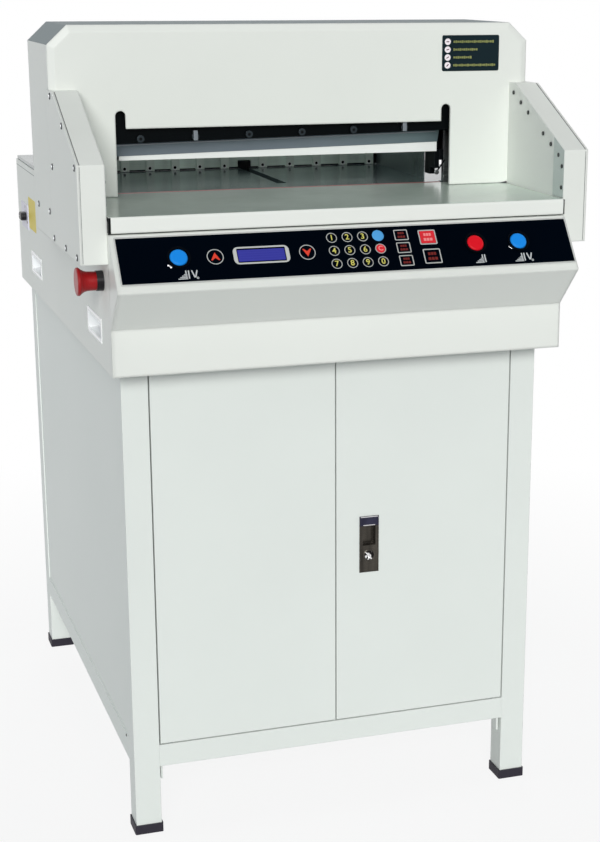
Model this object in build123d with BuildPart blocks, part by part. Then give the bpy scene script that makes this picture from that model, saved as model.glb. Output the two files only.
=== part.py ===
"""An electric paper cutter with a programmable back gauge, on a cabinet stand with two doors.

x runs right from the stand's middle, y runs back from the gantry's front face, z runs up from the floor.
The finished pieces are moved so that the origin is on the floor under the middle of the whole machine.
"""
import math
import os

from build123d import *

os.makedirs("parts", exist_ok=True)

# Stand
housing_width = 619.0
stand_inset = 17.2
stand_front = -150.9
stand_depth = 771.8
stand_top = 668.0
top_sheet = 3.0
leg_size = 35.6
leg_wall = 1.5
foot_height = 13.5
foot_border = 2.0
foot_floor = 4.0
rail_bottom = 98.9
rail_height = 31.8
rail_depth = 25.0
panel_sheet = 1.2
panel_inset = 1.5
panel_flange = 12.0
stand_half = housing_width / 2 - stand_inset
stand_rear = stand_front + stand_depth
rail_top = rail_bottom + rail_height
leg_top = stand_top - top_sheet

# Doors and lock
door_top_gap = 12.0
door_rail_gap = 1.9
door_side_gap = 2.0
door_split = 1.8
door_depth = 18.0
door_sheet = 1.2
pivot_inset = 14.0
pivot_depth = 7.0
pivot_radius = 3.0
pivot_grip = 8.0
shoulder_radius = 5.0
lock_x = 48.4
lock_above_door = 218.1
lock_width = 28.2
lock_height = 82.0
lock_border = 2.6
lock_proud = 1.2
lock_depth = 14.0
recess_width = 19.0
recess_height = 29.0
recess_depth = 10.5
recess_top_gap = 13.8
barrel_radius = 6.4
barrel_height = 24.6
cam_reach = 56.0
cam_width = 14.0
cam_thickness = 2.0
cam_gap = 1.5
key_slot_length = 7.0
key_slot_width = 1.4
door_bottom = rail_top + door_rail_gap
door_top = stand_top - door_top_gap
lock_bottom = door_bottom + lock_above_door

# Lower housing, tables and console
housing_overlap = 5.1
housing_height = 198.0
housing_set_back = 16.7
housing_sheet = 1.2
housing_flange = 15.0
table_lift = 5.6
table_thickness = 20.7
table_front = -195.7
table_side_gap = 1.4
table_rear_gap = 6.0
seam_gap = 0.25
console_gap = 1.6
console_flange = 4.0
console_sheet = 1.5
skirt_set_back = 3.7
lip_drop = 55.0
face_run = 49.9
face_rise = 64.6
bend_radius = 2.5
housing_half = housing_width / 2
housing_rear = stand_rear - housing_set_back
housing_bottom = stand_top - housing_overlap
housing_top = housing_bottom + housing_height
table_top = housing_top + table_lift
table_bottom = table_top - table_thickness
console_top = table_bottom - console_gap
lip_height = console_top - face_rise
skirt_top = lip_height - lip_drop
lip_front = table_front - face_run
skirt_front = table_front + skirt_set_back
console_seam = skirt_front + console_flange

# Carry cups in the housing sides
front_cup_gap = 110.0
rear_cup_gap = 179.2
cup_above_bottom = 48.1
cup_length = 100.0
cup_width = 34.0
cup_depth = 28.0
cup_wall = 1.6
cup_rim = 4.0
cup_proud = 1.0
cup_places = (console_seam + front_cup_gap, housing_rear - rear_cup_gap)
cup_height = housing_bottom + cup_above_bottom

# Gantry covers and arms
gantry_left_reach = 34.6
gantry_right_reach = 26.2
gantry_height = 224.5
gantry_depth = 169.6
cheek_drop = 59.1
corner_width = 27.0
corner_height = 25.0
edge_bevel = 9.0
edge_bevel_depth = 4.0
front_plate = 5.0
cover_sheet = 2.0
table_clearance = 0.5
throat_left_gap = 51.7
throat_right_gap = 89.3
throat_height = 89.9
end_slot_rise = 23.6
end_slot_width = 14.0
rear_mouth_gap = 29.5
arm_set_back = 6.0
arm_height = 141.7
arm_level = 23.0
arm_fall = 78.0
arm_right_reach = 8.4
arm_sheet = 2.0
arm_cover_sheet = 2.5
cover_seam = 18.0
arm_flange = 14.0
screw_radius = 3.2
screw_head = 1.6
screw_shank_radius = 1.6
arm_screw_shares = (
    (0.963, 0.967), (0.52, 0.81), (0.083, 0.59), (0.99, 0.511),
    (1.036, 0.035), (0.55, 0.035), (0.11, 0.035),
)
gantry_screw_shares = ((0.21, 0.195), (0.787, 0.187))
lens_radius = 2.8
lens_proud = 1.2
lens_inset = 14.3
lens_front_inset = 6.0
lens_slope_shares = (0.0, 0.155, 0.31, 0.62, 0.775, 0.93)
lens_front_shares = (0.825, 0.595)
gantry_left = -housing_half - gantry_left_reach
gantry_right = housing_half + gantry_right_reach
gantry_top = table_top + gantry_height
gantry_bottom = table_top - cheek_drop
throat_left = -housing_half + throat_left_gap
throat_right = housing_half - throat_right_gap
throat_top = table_top + throat_height
end_slot_top = throat_top + end_slot_rise
rear_mouth_half = housing_half - rear_mouth_gap
arm_front = table_front + arm_set_back
arm_top = table_top + arm_height
arm_front_top = arm_top - arm_fall
arm_right = gantry_right + arm_right_reach

# Knife stack, from the carrier back to the beam behind it
carrier_front = 12.0
carrier_depth = 18.0
blade_depth = 9.5
clamp_gap = 1.0
rod_gap = 4.5
rod_depth = 8.0
beam_gap = 2.0
beam_depth = 66.0
bed_lead = 15.5
bed_depth = 40.0
bed_height = 45.8
knife_plane = carrier_front + carrier_depth + blade_depth
clamp_front = knife_plane + clamp_gap
rod_front = knife_plane + rod_gap
beam_front = rod_front + rod_depth + beam_gap
bed_front = knife_plane - bed_lead
bed_rear = bed_front + bed_depth
bed_bottom = table_bottom - bed_height

# Gauge motor, clamp gearbox and the side frames that stand clear of them
gauge_motor_size = 48.0
gauge_motor_length = 44.0
gauge_motor_gap = 3.8
motor_back_gap = 7.0
clamp_gearbox_width = 70.0
clamp_gearbox_set_back = 6.0
clamp_gearbox_depth = 56.0
clamp_gearbox_height = 36.0
clamp_gearbox_gap = 5.0
frame_plate = 14.3
frame_front_gap = 85.7
frame_beam_rise = 72.0
frame_tail = 55.0
frame_tail_height = 40.8
foot_lead = 50.0
foot_lag = 5.0
rear_foot_gap = 187.0
rear_foot_length = 75.0
foot_pad_width = 49.0
foot_pad_height = 14.0
column_front = 45.0
column_rear_gap = 27.6
tie_depth = 12.0
housing_inner = housing_half - housing_sheet
frame_inner = housing_inner - frame_plate
frame_front = table_front + frame_front_gap
frame_rear = housing_rear - housing_sheet - motor_back_gap - gauge_motor_length
frame_beam_bottom = stand_top + frame_beam_rise
frame_tail_front = frame_rear - frame_tail
frame_tail_bottom = table_bottom - frame_tail_height
column_rear = gantry_depth - cover_sheet - column_rear_gap
column_top = gantry_top - cover_sheet - clamp_gearbox_gap - clamp_gearbox_height
front_foot = (column_front - foot_lead, column_rear + foot_lag)
rear_foot = (frame_rear - rear_foot_gap - rear_foot_length, frame_rear - rear_foot_gap)

# Cutting stick and side guides
stick_width = 9.5
stick_height = 10.0
stick_shift = 1.8
guide_left_gap = 8.3
guide_right_gap = 5.7
guide_sheet = 2.0
guide_height = 74.0
guide_end_gap = 8.0
gauge_slot_x = -2.0
gauge_slot_width = 14.0
gauge_slot_lead = 26.0
stick_left = throat_left + stick_shift
stick_right = throat_right + stick_shift
guide_left = throat_left + guide_left_gap
guide_right = throat_right - guide_right_gap
gauge_slot_start = bed_rear + gauge_slot_lead
gauge_slot_end = frame_rear - tie_depth - beam_gap

# Knife, measured from the pivot pin at its right end
pin_beyond_throat = 17.8
pin_below_top = 12.0
pin_radius = 6.0
pin_head_radius = 9.0
pin_head_depth = 3.6
edge_below_pin = 111.4
knife_tilt = 0.936
knife_sideways = 30.0
edge_clearance = 0.1
carrier_top = 16.0
carrier_right = 12.0
carrier_left_reach = 18.2
blade_height = 80.0
blade_bevel = 19.0
edge_flat = 0.2
blade_left_lead = 6.0
blade_right = -24.0
bolt_lead = 51.5
bolt_end_gap = 50.0
bolt_pitch = 75.4
bolt_above_edge = 25.0
bolt_head_radius = 5.0
bolt_head_depth = 5.0
bolt_radius = 3.0
bolt_bite = 4.0
roller_lead = 96.0
roller_radius = 8.0
groove_clearance = 0.4
groove_depth = 15.0
groove_wall = 7.6
running = 0.05
face_gap = 0.3
pin_x = throat_right + pin_beyond_throat
pin_height = column_top - pin_below_top
knife_drop = pin_height - (table_top + edge_clearance + edge_below_pin)
groove_radius = roller_radius + groove_clearance
beam_bottom = pin_height - knife_drop - groove_radius - groove_wall
carrier_left = throat_left - carrier_left_reach - pin_x
blade_left = carrier_left - blade_left_lead
bolt_first = carrier_left + bolt_lead
bolt_count = 1 + int((blade_right - bolt_end_gap - bolt_first) / bolt_pitch)
roller_left = carrier_left + roller_lead

# Pull rod, drive lever and knife motor
rod_width = 20.0
rod_head = 14.0
rod_slot_drop = 20.0
rod_slot_right = -2.0
rod_slot_clearance = 0.9
rod_foot_wall = 8.0
rod_foot_left_wall = 5.0
rod_foot_end = 1.5
lever_swing = 60.0
lever_gap = 2.0
lever_depth = 8.0
lever_width = 26.0
lever_roller_radius = 7.0
lever_shaft_radius = 8.0
lever_shaft_grip = 30.0
gearbox_set_back = 4.0
gearbox_depth = 72.0
gearbox_length = 144.0
gearbox_lift = 32.0
gearbox_drop = 5.0
knife_motor_radius = 42.0
knife_motor_length = 170.0
rod_slot_height = bed_bottom - rod_slot_drop
lever_front = rod_front - lever_gap - lever_depth
gearbox_front = beam_front + gearbox_set_back
gearbox_left = frame_inner - gearbox_length
gearbox_bottom = stand_top + gearbox_lift
gearbox_height = bed_bottom - gearbox_drop - gearbox_bottom

# Clamp
clamp_left_gap = 10.8
clamp_right_gap = 8.2
clamp_depth = 46.0
clamp_opening = 44.0
clamp_beam_gap = 7.0
clamp_screw_set_back = 20.0
boss_radius = 15.0
boss_clearance = 2.0
boss_reach = 36.0
nut_height = 38.0
nut_relief = 1.5
screw_lift = 14.5
clamp_screw_radius = 8.0
clamp_rod_spread = 100.0
clamp_rod_radius = 9.0
clamp_rod_proud = 12.0
clamp_screw_grip_share = 0.75
clamp_motor_edge = 1.0
clamp_motor_length = 112.0
clamp_motor_offset = 12.0
post_width = 8.0
post_set_back = 6.0
post_depth = 20.0
post_lift = 9.5
post_gap = 1.0
switch_box_width = 7.0
switch_box_height = 26.0
switch_box_lift = 10.0
clamp_left = throat_left + clamp_left_gap
clamp_right = throat_right - clamp_right_gap
clamp_bottom = table_top + clamp_opening
clamp_top = beam_bottom - clamp_beam_gap
clamp_screw_y = beam_front + clamp_screw_set_back
boss_top = beam_bottom + boss_reach
screw_bottom = clamp_bottom + screw_lift
clamp_rod_top = column_top + clamp_rod_proud
clamp_gearbox_front = beam_front + clamp_gearbox_set_back
clamp_motor_y = clamp_gearbox_front + clamp_gearbox_depth / 2 + clamp_motor_offset
clamp_motor_radius = clamp_gearbox_height / 2 - clamp_motor_edge
post_front = beam_front + post_set_back
post_bottom = table_top + post_lift
switch_box_bottom = post_bottom + switch_box_lift

# Back gauge
gauge_face = 295.0
comb_left_gap = 27.5
comb_right_gap = 2.5
comb_sheet = 6.0
comb_height = 78.5
comb_flange = 21.0
finger_gap = 0.6
finger_depth = 4.0
finger_width = 12.5
left_finger_gap = 31.6
right_finger_gap = 29.3
left_finger_end = 33.2
right_finger_end = 10.3
fingers_a_side = 5
neck_width = 10.0
gauge_screw_radius = 8.0
gauge_rod_radius = 6.0
gauge_rod_spread = 25.0
nut_block_width = 76.0
nut_block_height = 38.0
nut_block_depth = 36.0
bracket_width = 56.0
bracket_sheet = 6.0
bracket_drop = 15.0
toe_width = 18.0
toe_height = 10.0
toe_gap = 1.5
comb_left = guide_left + comb_left_gap
comb_right = guide_right - comb_right_gap
comb_top = table_top + comb_height
bracket_top = comb_top - bracket_drop
gauge_screw_height = table_bottom - gauge_motor_gap - gauge_motor_size / 2

# Controls on the console, as places along the panel and up its slope
panel_left_gap = 7.1
panel_right_gap = 2.3
panel_low = 12.0
panel_top_gap = 4.8
panel_thickness = 3.0
button_row = 46.0
left_button_gap = 75.8
right_button_gap = 74.5
clamp_button_gap = 61.4
button_radius = 11.6
button_lift = 3.3
button_crown = 3.2
button_stem_radius = 7.0
button_stem_length = 16.0
stem_clearance = 0.2
bezel_radius = 15.0
bezel_height = 2.6
bezel_clearance = 0.5
display_gap = 182.5
display_row = 44.6
display_width = 73.4
display_height = 25.0
display_thickness = 1.6
board_left_gap = 69.0
board_right_gap = 8.9
board_height = 50.0
board_gap = 14.0
board_thickness = 1.6
chip_height = 8.0
chip_size = 26.0
chip_count = 5
panel_left = -housing_half + panel_left_gap
panel_right = housing_half - panel_right_gap
panel_high = math.hypot(face_run, face_rise) - panel_top_gap
cut_button_left_x = panel_left + left_button_gap
cut_button_right_x = panel_right - right_button_gap
clamp_button_x = cut_button_right_x - clamp_button_gap
display_x = panel_left + display_gap

# Emergency stop and power switch on the left side
stop_lead = 41.2
stop_gap = 8.8
collar_radius = 13.0
collar_length = 9.0
collar_pocket = 6.0
stem_radius = 8.0
neck_radius = 11.0
neck_length = 14.5
head_radius = 18.0
head_length = 10.8
head_crown = 5.0
stem_inside = 14.0
switch_gap = 10.0
switch_notch_gap = 3.0
switch_plate_lead = 26.0
switch_plate_length = 68.0
switch_plate_height = 40.0
switch_plate_sheet = 1.5
switch_body_size = 36.0
switch_body_depth = 36.0
knob_length = 28.0
knob_width = 12.5
knob_height = 8.7
knob_edge = 2.0
knob_spindle_radius = 3.0
knob_spindle_length = 12.0
stop_y = console_seam + stop_lead
stop_height = gantry_bottom - stop_gap - head_radius
switch_y = frame_tail_front + switch_notch_gap + switch_body_size / 2
switch_height = frame_tail_bottom - switch_gap - switch_body_size / 2
switch_plate_front = switch_y - switch_plate_lead

# Cuts run past what they cut by this much
overrun = 5.0

pieces = {}


def keep(builder, label):
    """Names a finished piece and keeps it for writing."""
    builder.part.label = label
    pieces[label] = builder


def block(x, y, z, mode=Mode.ADD):
    """A block between two places along each axis."""
    with Locations(((x[0] + x[1]) / 2, (y[0] + y[1]) / 2, (z[0] + z[1]) / 2)):
        Box(abs(x[1] - x[0]), abs(y[1] - y[0]), abs(z[1] - z[0]), mode=mode)


def bar_x(start, end, y, z, radius, mode=Mode.ADD):
    """A round bar along x."""
    with Locations(((start + end) / 2, y, z)):
        Cylinder(radius, abs(end - start), rotation=(0, 90, 0), mode=mode)


def bar_y(start, end, x, z, radius, mode=Mode.ADD):
    """A round bar along y."""
    with Locations((x, (start + end) / 2, z)):
        Cylinder(radius, abs(end - start), rotation=(90, 0, 0), mode=mode)


def bar_z(start, end, x, y, radius, mode=Mode.ADD):
    """A round bar along z."""
    with Locations((x, y, (start + end) / 2)):
        Cylinder(radius, abs(end - start), mode=mode)


def front_view(y):
    """The drawing plane at depth y, with x to the right and z up; a negative extrusion runs back."""
    return Plane(origin=(0, y, 0), x_dir=(1, 0, 0), z_dir=(0, -1, 0))


def side_view(x):
    """The drawing plane at x, with y to the right and z up; an extrusion runs along x."""
    return Plane(origin=(x, 0, 0), x_dir=(0, 1, 0), z_dir=(1, 0, 0))


# Legs and feet of the stand
leg_places = [
    (x, y)
    for y in (stand_front + leg_size / 2, stand_rear - leg_size / 2)
    for x in (-stand_half + leg_size / 2, stand_half - leg_size / 2)
]

with BuildPart() as stand_legs:
    with BuildSketch(Plane.XY.offset(foot_floor)):
        with Locations(*leg_places):
            Rectangle(leg_size, leg_size)
            Rectangle(leg_size - 2 * leg_wall, leg_size - 2 * leg_wall, mode=Mode.SUBTRACT)
    extrude(amount=leg_top - foot_floor)
keep(stand_legs, "stand_legs")

with BuildPart() as rubber_feet:
    with BuildSketch():
        with Locations(*leg_places):
            RectangleRounded(leg_size + 2 * foot_border, leg_size + 2 * foot_border, foot_border)
    extrude(amount=foot_height)
    with BuildSketch(Plane.XY.offset(foot_floor)):
        with Locations(*leg_places):
            Rectangle(leg_size, leg_size)
    extrude(amount=foot_height, mode=Mode.SUBTRACT)
keep(rubber_feet, "rubber_feet")

# Rails, top plate, panels and floor of the cabinet
between_legs_x = (-stand_half + leg_size, stand_half - leg_size)
between_legs_y = (stand_front + leg_size, stand_rear - leg_size)
front_rail_y = (stand_front, stand_front + rail_depth)
rear_rail_y = (stand_rear - rail_depth, stand_rear)
left_rail_x = (-stand_half, -stand_half + rail_depth)
right_rail_x = (stand_half - rail_depth, stand_half)
rail_z = (rail_bottom, rail_top)
rail_bore_z = (rail_bottom + leg_wall, rail_top - leg_wall)

with BuildPart() as bottom_rails:
    for rail_y in (front_rail_y, rear_rail_y):
        block(between_legs_x, rail_y, rail_z)
        block(between_legs_x, (rail_y[0] + leg_wall, rail_y[1] - leg_wall), rail_bore_z, Mode.SUBTRACT)
    for rail_x in (left_rail_x, right_rail_x):
        block(rail_x, between_legs_y, rail_z)
        block((rail_x[0] + leg_wall, rail_x[1] - leg_wall), between_legs_y, rail_bore_z, Mode.SUBTRACT)
keep(bottom_rails, "bottom_rails")

top_rail_bottom = door_top + door_rail_gap

with BuildPart() as stand_top_plate:
    block((-stand_half, stand_half), (stand_front, stand_rear), (leg_top, stand_top))
    block(between_legs_x, front_rail_y, (top_rail_bottom, leg_top))
keep(stand_top_plate, "stand_top_plate")

panel_z = (rail_top, leg_top)

with BuildPart() as cabinet_panels:
    for side in (-1, 1):
        outer = side * (stand_half - panel_inset)
        inner = outer - side * panel_sheet
        block((outer, inner), between_legs_y, panel_z)
        for y in between_legs_y:
            inward = math.copysign(panel_sheet, sum(between_legs_y) / 2 - y)
            block((inner, inner - side * panel_flange), (y, y + inward), panel_z)
    back = stand_rear - panel_inset
    block(between_legs_x, (back - panel_sheet, back), panel_z)
    for x in between_legs_x:
        inward = math.copysign(panel_sheet, -x)
        block((x, x + inward), (back - panel_sheet - panel_flange, back - panel_sheet), panel_z)
keep(cabinet_panels, "cabinet_panels")

with BuildPart() as cabinet_floor:
    floor_z = (rail_top - leg_wall, rail_top)
    block((left_rail_x[1], right_rail_x[0]), (front_rail_y[1], rear_rail_y[0]), floor_z)
    for x, y in leg_places:
        reach = leg_size / 2
        block((x - reach, x + reach), (y - reach, y + reach), floor_z, Mode.SUBTRACT)
keep(cabinet_floor, "cabinet_floor")

# Doors on shouldered pivot pins
door_outer = between_legs_x[1] - door_side_gap
door_inner = door_split / 2
door_back = stand_front + door_depth
pivot_x = door_outer - pivot_inset
pivot_y = stand_front + pivot_depth
pivot_hole = pivot_radius + running
lock_body_half = lock_width / 2 - lock_border
lock_body_z = (lock_bottom + lock_border, lock_bottom + lock_height - lock_border)

for side, label in ((-1, "left_door"), (1, "right_door")):
    with BuildPart() as door:
        block((side * door_inner, side * door_outer), (stand_front, door_back), (door_bottom, door_top))
        block(
            (side * (door_inner + door_sheet), side * (door_outer - door_sheet)),
            (stand_front + door_sheet, door_back + overrun),
            (door_bottom + door_sheet, door_top - door_sheet),
            Mode.SUBTRACT,
        )
        bar_z(door_bottom - overrun, door_top + overrun, side * pivot_x, pivot_y, pivot_hole, Mode.SUBTRACT)
        if label == "right_door":
            block(
                (lock_x - lock_body_half, lock_x + lock_body_half),
                (stand_front - overrun, stand_front + door_sheet + overrun),
                lock_body_z,
                Mode.SUBTRACT,
            )
    keep(door, label)

with BuildPart() as hinge_pins:
    for x in (-pivot_x, pivot_x):
        bar_z(rail_top, door_bottom + pivot_grip, x, pivot_y, pivot_radius)
        bar_z(rail_top, door_bottom - running, x, pivot_y, shoulder_radius)
        bar_z(door_top - pivot_grip, top_rail_bottom, x, pivot_y, pivot_radius)
        bar_z(door_top + running, top_rail_bottom, x, pivot_y, shoulder_radius)
keep(hinge_pins, "hinge_pins")

barrel_z = lock_bottom + barrel_height
recess_top = lock_bottom + lock_height - recess_top_gap
lock_front = stand_front - lock_proud

with BuildPart() as lock_plate:
    block(
        (lock_x - lock_width / 2, lock_x + lock_width / 2),
        (lock_front, stand_front),
        (lock_bottom, lock_bottom + lock_height),
    )
    block(
        (lock_x - lock_body_half, lock_x + lock_body_half),
        (stand_front, stand_front + lock_depth),
        lock_body_z,
    )
    block(
        (lock_x - recess_width / 2, lock_x + recess_width / 2),
        (lock_front - overrun, lock_front + recess_depth),
        (recess_top - recess_height, recess_top),
        Mode.SUBTRACT,
    )
    bar_y(
        lock_front - overrun, stand_front + lock_depth + overrun,
        lock_x, barrel_z, barrel_radius + running, Mode.SUBTRACT,
    )
keep(lock_plate, "lock_plate")

cam_front = door_back + cam_gap

with BuildPart() as lock_cylinder:
    bar_y(lock_front - lock_proud / 2, cam_front, lock_x, barrel_z, barrel_radius)
    block(
        (lock_x - cam_width / 2, lock_x + cam_width / 2),
        (cam_front, cam_front + cam_thickness),
        (barrel_z - cam_reach, barrel_z + cam_width / 2),
    )
    block(
        (lock_x - key_slot_width / 2, lock_x + key_slot_width / 2),
        (lock_front - overrun, lock_front + lock_proud),
        (barrel_z - key_slot_length / 2, barrel_z + key_slot_length / 2),
        Mode.SUBTRACT,
    )
keep(lock_cylinder, "lock_cylinder")

# Side frames that carry the tables and the beam over the throat
frame_outline = [
    (frame_front, frame_beam_bottom),
    (front_foot[0], frame_beam_bottom),
    (front_foot[0], stand_top),
    (front_foot[1], stand_top),
    (front_foot[1], frame_beam_bottom),
    (rear_foot[0], frame_beam_bottom),
    (rear_foot[0], stand_top),
    (rear_foot[1], stand_top),
    (rear_foot[1], frame_beam_bottom),
    (frame_tail_front, frame_beam_bottom),
    (frame_tail_front, frame_tail_bottom),
    (frame_rear, frame_tail_bottom),
    (frame_rear, table_bottom),
    (column_rear, table_bottom),
    (column_rear, column_top),
    (column_front, column_top),
    (column_front, table_bottom),
    (frame_front, table_bottom),
]

with BuildPart() as side_frames:
    for start in (-housing_inner, frame_inner):
        with BuildSketch(side_view(start)):
            Polygon(*frame_outline, align=None)
        extrude(amount=frame_plate)
    for side in (-1, 1):
        for foot in (front_foot, rear_foot):
            block(
                (side * frame_inner, side * (frame_inner - foot_pad_width)),
                foot,
                (stand_top, stand_top + foot_pad_height),
            )
keep(side_frames, "side_frames")

# Bed beam under the cutting stick, with a way through for the pull rod
stick_bottom = table_top - stick_height
stick_y = (knife_plane - stick_width / 2, knife_plane + stick_width / 2)
rod_way_gap = rod_width / 5
rod_way_x = (pin_x - rod_width / 2 - rod_way_gap, pin_x + knife_sideways + rod_width / 2 + rod_way_gap)
rod_way_rear = rod_front + rod_depth + rod_way_gap / 2
screw_seat = bed_rear - gauge_screw_radius

with BuildPart() as bed_beam:
    block((-frame_inner, frame_inner), (bed_front, bed_rear), (bed_bottom, table_bottom))
    block((stick_left, stick_right), stick_y, (table_bottom, stick_bottom))
    block(
        rod_way_x,
        (rod_front - rod_way_gap / 2, bed_rear + overrun),
        (bed_bottom - overrun, table_bottom + overrun),
        Mode.SUBTRACT,
    )
    bar_y(
        screw_seat, bed_rear + overrun, gauge_slot_x, gauge_screw_height,
        gauge_screw_radius + running, Mode.SUBTRACT,
    )
keep(bed_beam, "bed_beam")

with BuildPart() as rear_tie:
    block((-frame_inner, frame_inner), (frame_rear - tie_depth, frame_rear), (bed_bottom, table_bottom))
    bar_y(
        frame_rear - tie_depth - overrun, frame_rear + overrun, gauge_slot_x, gauge_screw_height,
        gauge_screw_radius + running, Mode.SUBTRACT,
    )
keep(rear_tie, "rear_tie")

# Tables, cutting stick and side guides
table_half = housing_half - table_side_gap
table_z = (table_bottom, table_top)

with BuildPart() as front_table:
    block((-table_half, table_half), (table_front, stick_y[0] - seam_gap), table_z)
    fillet(front_table.edges().filter_by(Axis.X).group_by(Axis.Y)[0], radius=bend_radius)
keep(front_table, "front_table")

with BuildPart() as cutting_stick:
    block((stick_left, stick_right), stick_y, (stick_bottom, table_top))
keep(cutting_stick, "cutting_stick")

with BuildPart() as rear_table:
    rear_table_front = stick_y[1] + seam_gap
    block((-table_half, table_half), (rear_table_front, housing_rear - table_rear_gap), table_z)
    cut_z = (table_bottom - overrun, table_top + overrun)
    for side in (-1, 1):
        block(
            (side * (frame_inner - table_clearance), side * (table_half + overrun)),
            (column_front - table_clearance, column_rear + table_clearance),
            cut_z,
            Mode.SUBTRACT,
        )
    block(rod_way_x, (rear_table_front - overrun, rod_way_rear), cut_z, Mode.SUBTRACT)
    block(
        (gauge_slot_x - gauge_slot_width / 2, gauge_slot_x + gauge_slot_width / 2),
        (gauge_slot_start, gauge_slot_end),
        cut_z,
        Mode.SUBTRACT,
    )
keep(rear_table, "rear_table")

with BuildPart() as side_guides:
    guide_y = (gauge_slot_start, gauge_slot_end - guide_end_gap)
    guide_z = (table_top, table_top + guide_height)
    block((guide_left - guide_sheet, guide_left), guide_y, guide_z)
    block((guide_right, guide_right + guide_sheet), guide_y, guide_z)
keep(side_guides, "side_guides")

# Lower housing of folded sheet
cup_cut_y = cup_length / 2 - cup_rim
cup_cut_z = cup_width / 2 - cup_rim

for side, label in ((-1, "housing_left"), (1, "housing_right")):
    with BuildPart() as housing_side:
        sheet_x = (side * housing_half, side * housing_inner)
        block(sheet_x, (console_seam, housing_rear), (housing_bottom, housing_top))
        block(
            (side * housing_inner, side * (housing_half - housing_flange)),
            (console_seam, housing_rear - housing_sheet),
            (housing_bottom, housing_bottom + housing_sheet),
        )
        cut_x = (side * (housing_half + overrun), side * (housing_inner - overrun))
        for y in cup_places:
            block(
                cut_x,
                (y - cup_cut_y, y + cup_cut_y),
                (cup_height - cup_cut_z, cup_height + cup_cut_z),
                Mode.SUBTRACT,
            )
        if label == "housing_left":
            bar_x(*cut_x, stop_y, stop_height, stem_radius + stem_clearance, Mode.SUBTRACT)
            switch_hole = switch_body_size / 2
            block(
                cut_x,
                (switch_y - switch_hole, switch_y + switch_hole),
                (switch_height - switch_hole, switch_height + switch_hole),
                Mode.SUBTRACT,
            )
    keep(housing_side, label)

with BuildPart() as housing_back:
    block(
        (-housing_inner, housing_inner),
        (housing_rear - housing_sheet, housing_rear),
        (stand_top, housing_top),
    )
keep(housing_back, "housing_back")

with BuildPart() as carry_cups:
    for side in (-1, 1):
        for y in cup_places:
            rim_x = (side * (housing_half + cup_proud), side * housing_half)
            block(
                rim_x,
                (y - cup_length / 2, y + cup_length / 2),
                (cup_height - cup_width / 2, cup_height + cup_width / 2),
            )
            block(
                (side * housing_half, side * (housing_half - cup_depth)),
                (y - cup_cut_y, y + cup_cut_y),
                (cup_height - cup_cut_z, cup_height + cup_cut_z),
            )
            block(
                (side * (housing_half + overrun), side * (housing_half - cup_depth + cup_wall)),
                (y - cup_cut_y + cup_wall, y + cup_cut_y - cup_wall),
                (cup_height - cup_cut_z + cup_wall, cup_height + cup_cut_z - cup_wall),
                Mode.SUBTRACT,
            )
keep(carry_cups, "carry_cups")

# Console, with its face sloping back from the lip
console_outline = [
    (console_seam, housing_bottom),
    (skirt_front, housing_bottom),
    (skirt_front, skirt_top),
    (lip_front, lip_height),
    (table_front, console_top),
    (console_seam, console_top),
]
slope = math.atan2(face_rise, face_run)
face_normal = (0, -math.sin(slope), math.cos(slope))
face_plane = Plane(origin=(0, lip_front, lip_height), x_dir=(1, 0, 0), z_dir=face_normal)
panel_centre = ((panel_left + panel_right) / 2, (panel_low + panel_high) / 2)
panel_size = (panel_right - panel_left, panel_high - panel_low)

with BuildPart() as console_shell:
    with BuildSketch(side_view(-housing_half)):
        Polygon(*console_outline, align=None)
    extrude(amount=housing_width)
    folds = console_shell.edges().filter_by(Axis.X)
    fillet(folds.filter_by_position(Axis.Y, lip_front, table_front), radius=bend_radius)
    with BuildSketch(side_view(-housing_half + console_sheet)):
        Polygon(*console_outline, align=None)
        offset(amount=-console_sheet, kind=Kind.INTERSECTION, mode=Mode.REPLACE)
        with Locations((console_seam, (housing_bottom + console_top) / 2)):
            Rectangle(2 * console_sheet, console_top - housing_bottom - 2 * console_sheet)
    extrude(amount=housing_width - 2 * console_sheet, mode=Mode.SUBTRACT)
    with BuildSketch(face_plane):
        with Locations(panel_centre):
            Rectangle(*panel_size)
    extrude(amount=-2 * console_sheet, mode=Mode.SUBTRACT)
keep(console_shell, "console_shell")


def face_bar(x, start, end, radius, mode=Mode.ADD):
    """A round bar square to the console's face, on the row of the large buttons."""
    with Locations(face_plane.location * Location((x, button_row, (start + end) / 2))):
        Cylinder(radius, abs(end - start), mode=mode)


def face_block(x, row, width, height, start, end, mode=Mode.ADD):
    """A block square to the console's face."""
    with Locations(face_plane.location * Location((x, row, (start + end) / 2))):
        Box(width, height, abs(end - start), mode=mode)


button_places = (cut_button_left_x, clamp_button_x, cut_button_right_x)
bezel_bore = button_radius + bezel_clearance
barrel_outer = (bezel_bore + bezel_radius) / 2
barrel_floor = button_stem_length - bezel_height
window_ledge = display_thickness

with BuildPart() as control_panel:
    face_block(*panel_centre, *panel_size, -panel_thickness, 0)
    for x in button_places:
        face_bar(x, -panel_thickness - overrun, overrun, barrel_outer, Mode.SUBTRACT)
    face_block(
        display_x, display_row, display_width, display_height,
        -display_thickness, overrun, Mode.SUBTRACT,
    )
    face_block(
        display_x, display_row, display_width - 2 * window_ledge, display_height - 2 * window_ledge,
        -panel_thickness - overrun, overrun, Mode.SUBTRACT,
    )
keep(control_panel, "control_panel")

with BuildPart() as display_window:
    face_block(display_x, display_row, display_width, display_height, -display_thickness, 0)
keep(display_window, "display_window")

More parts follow.
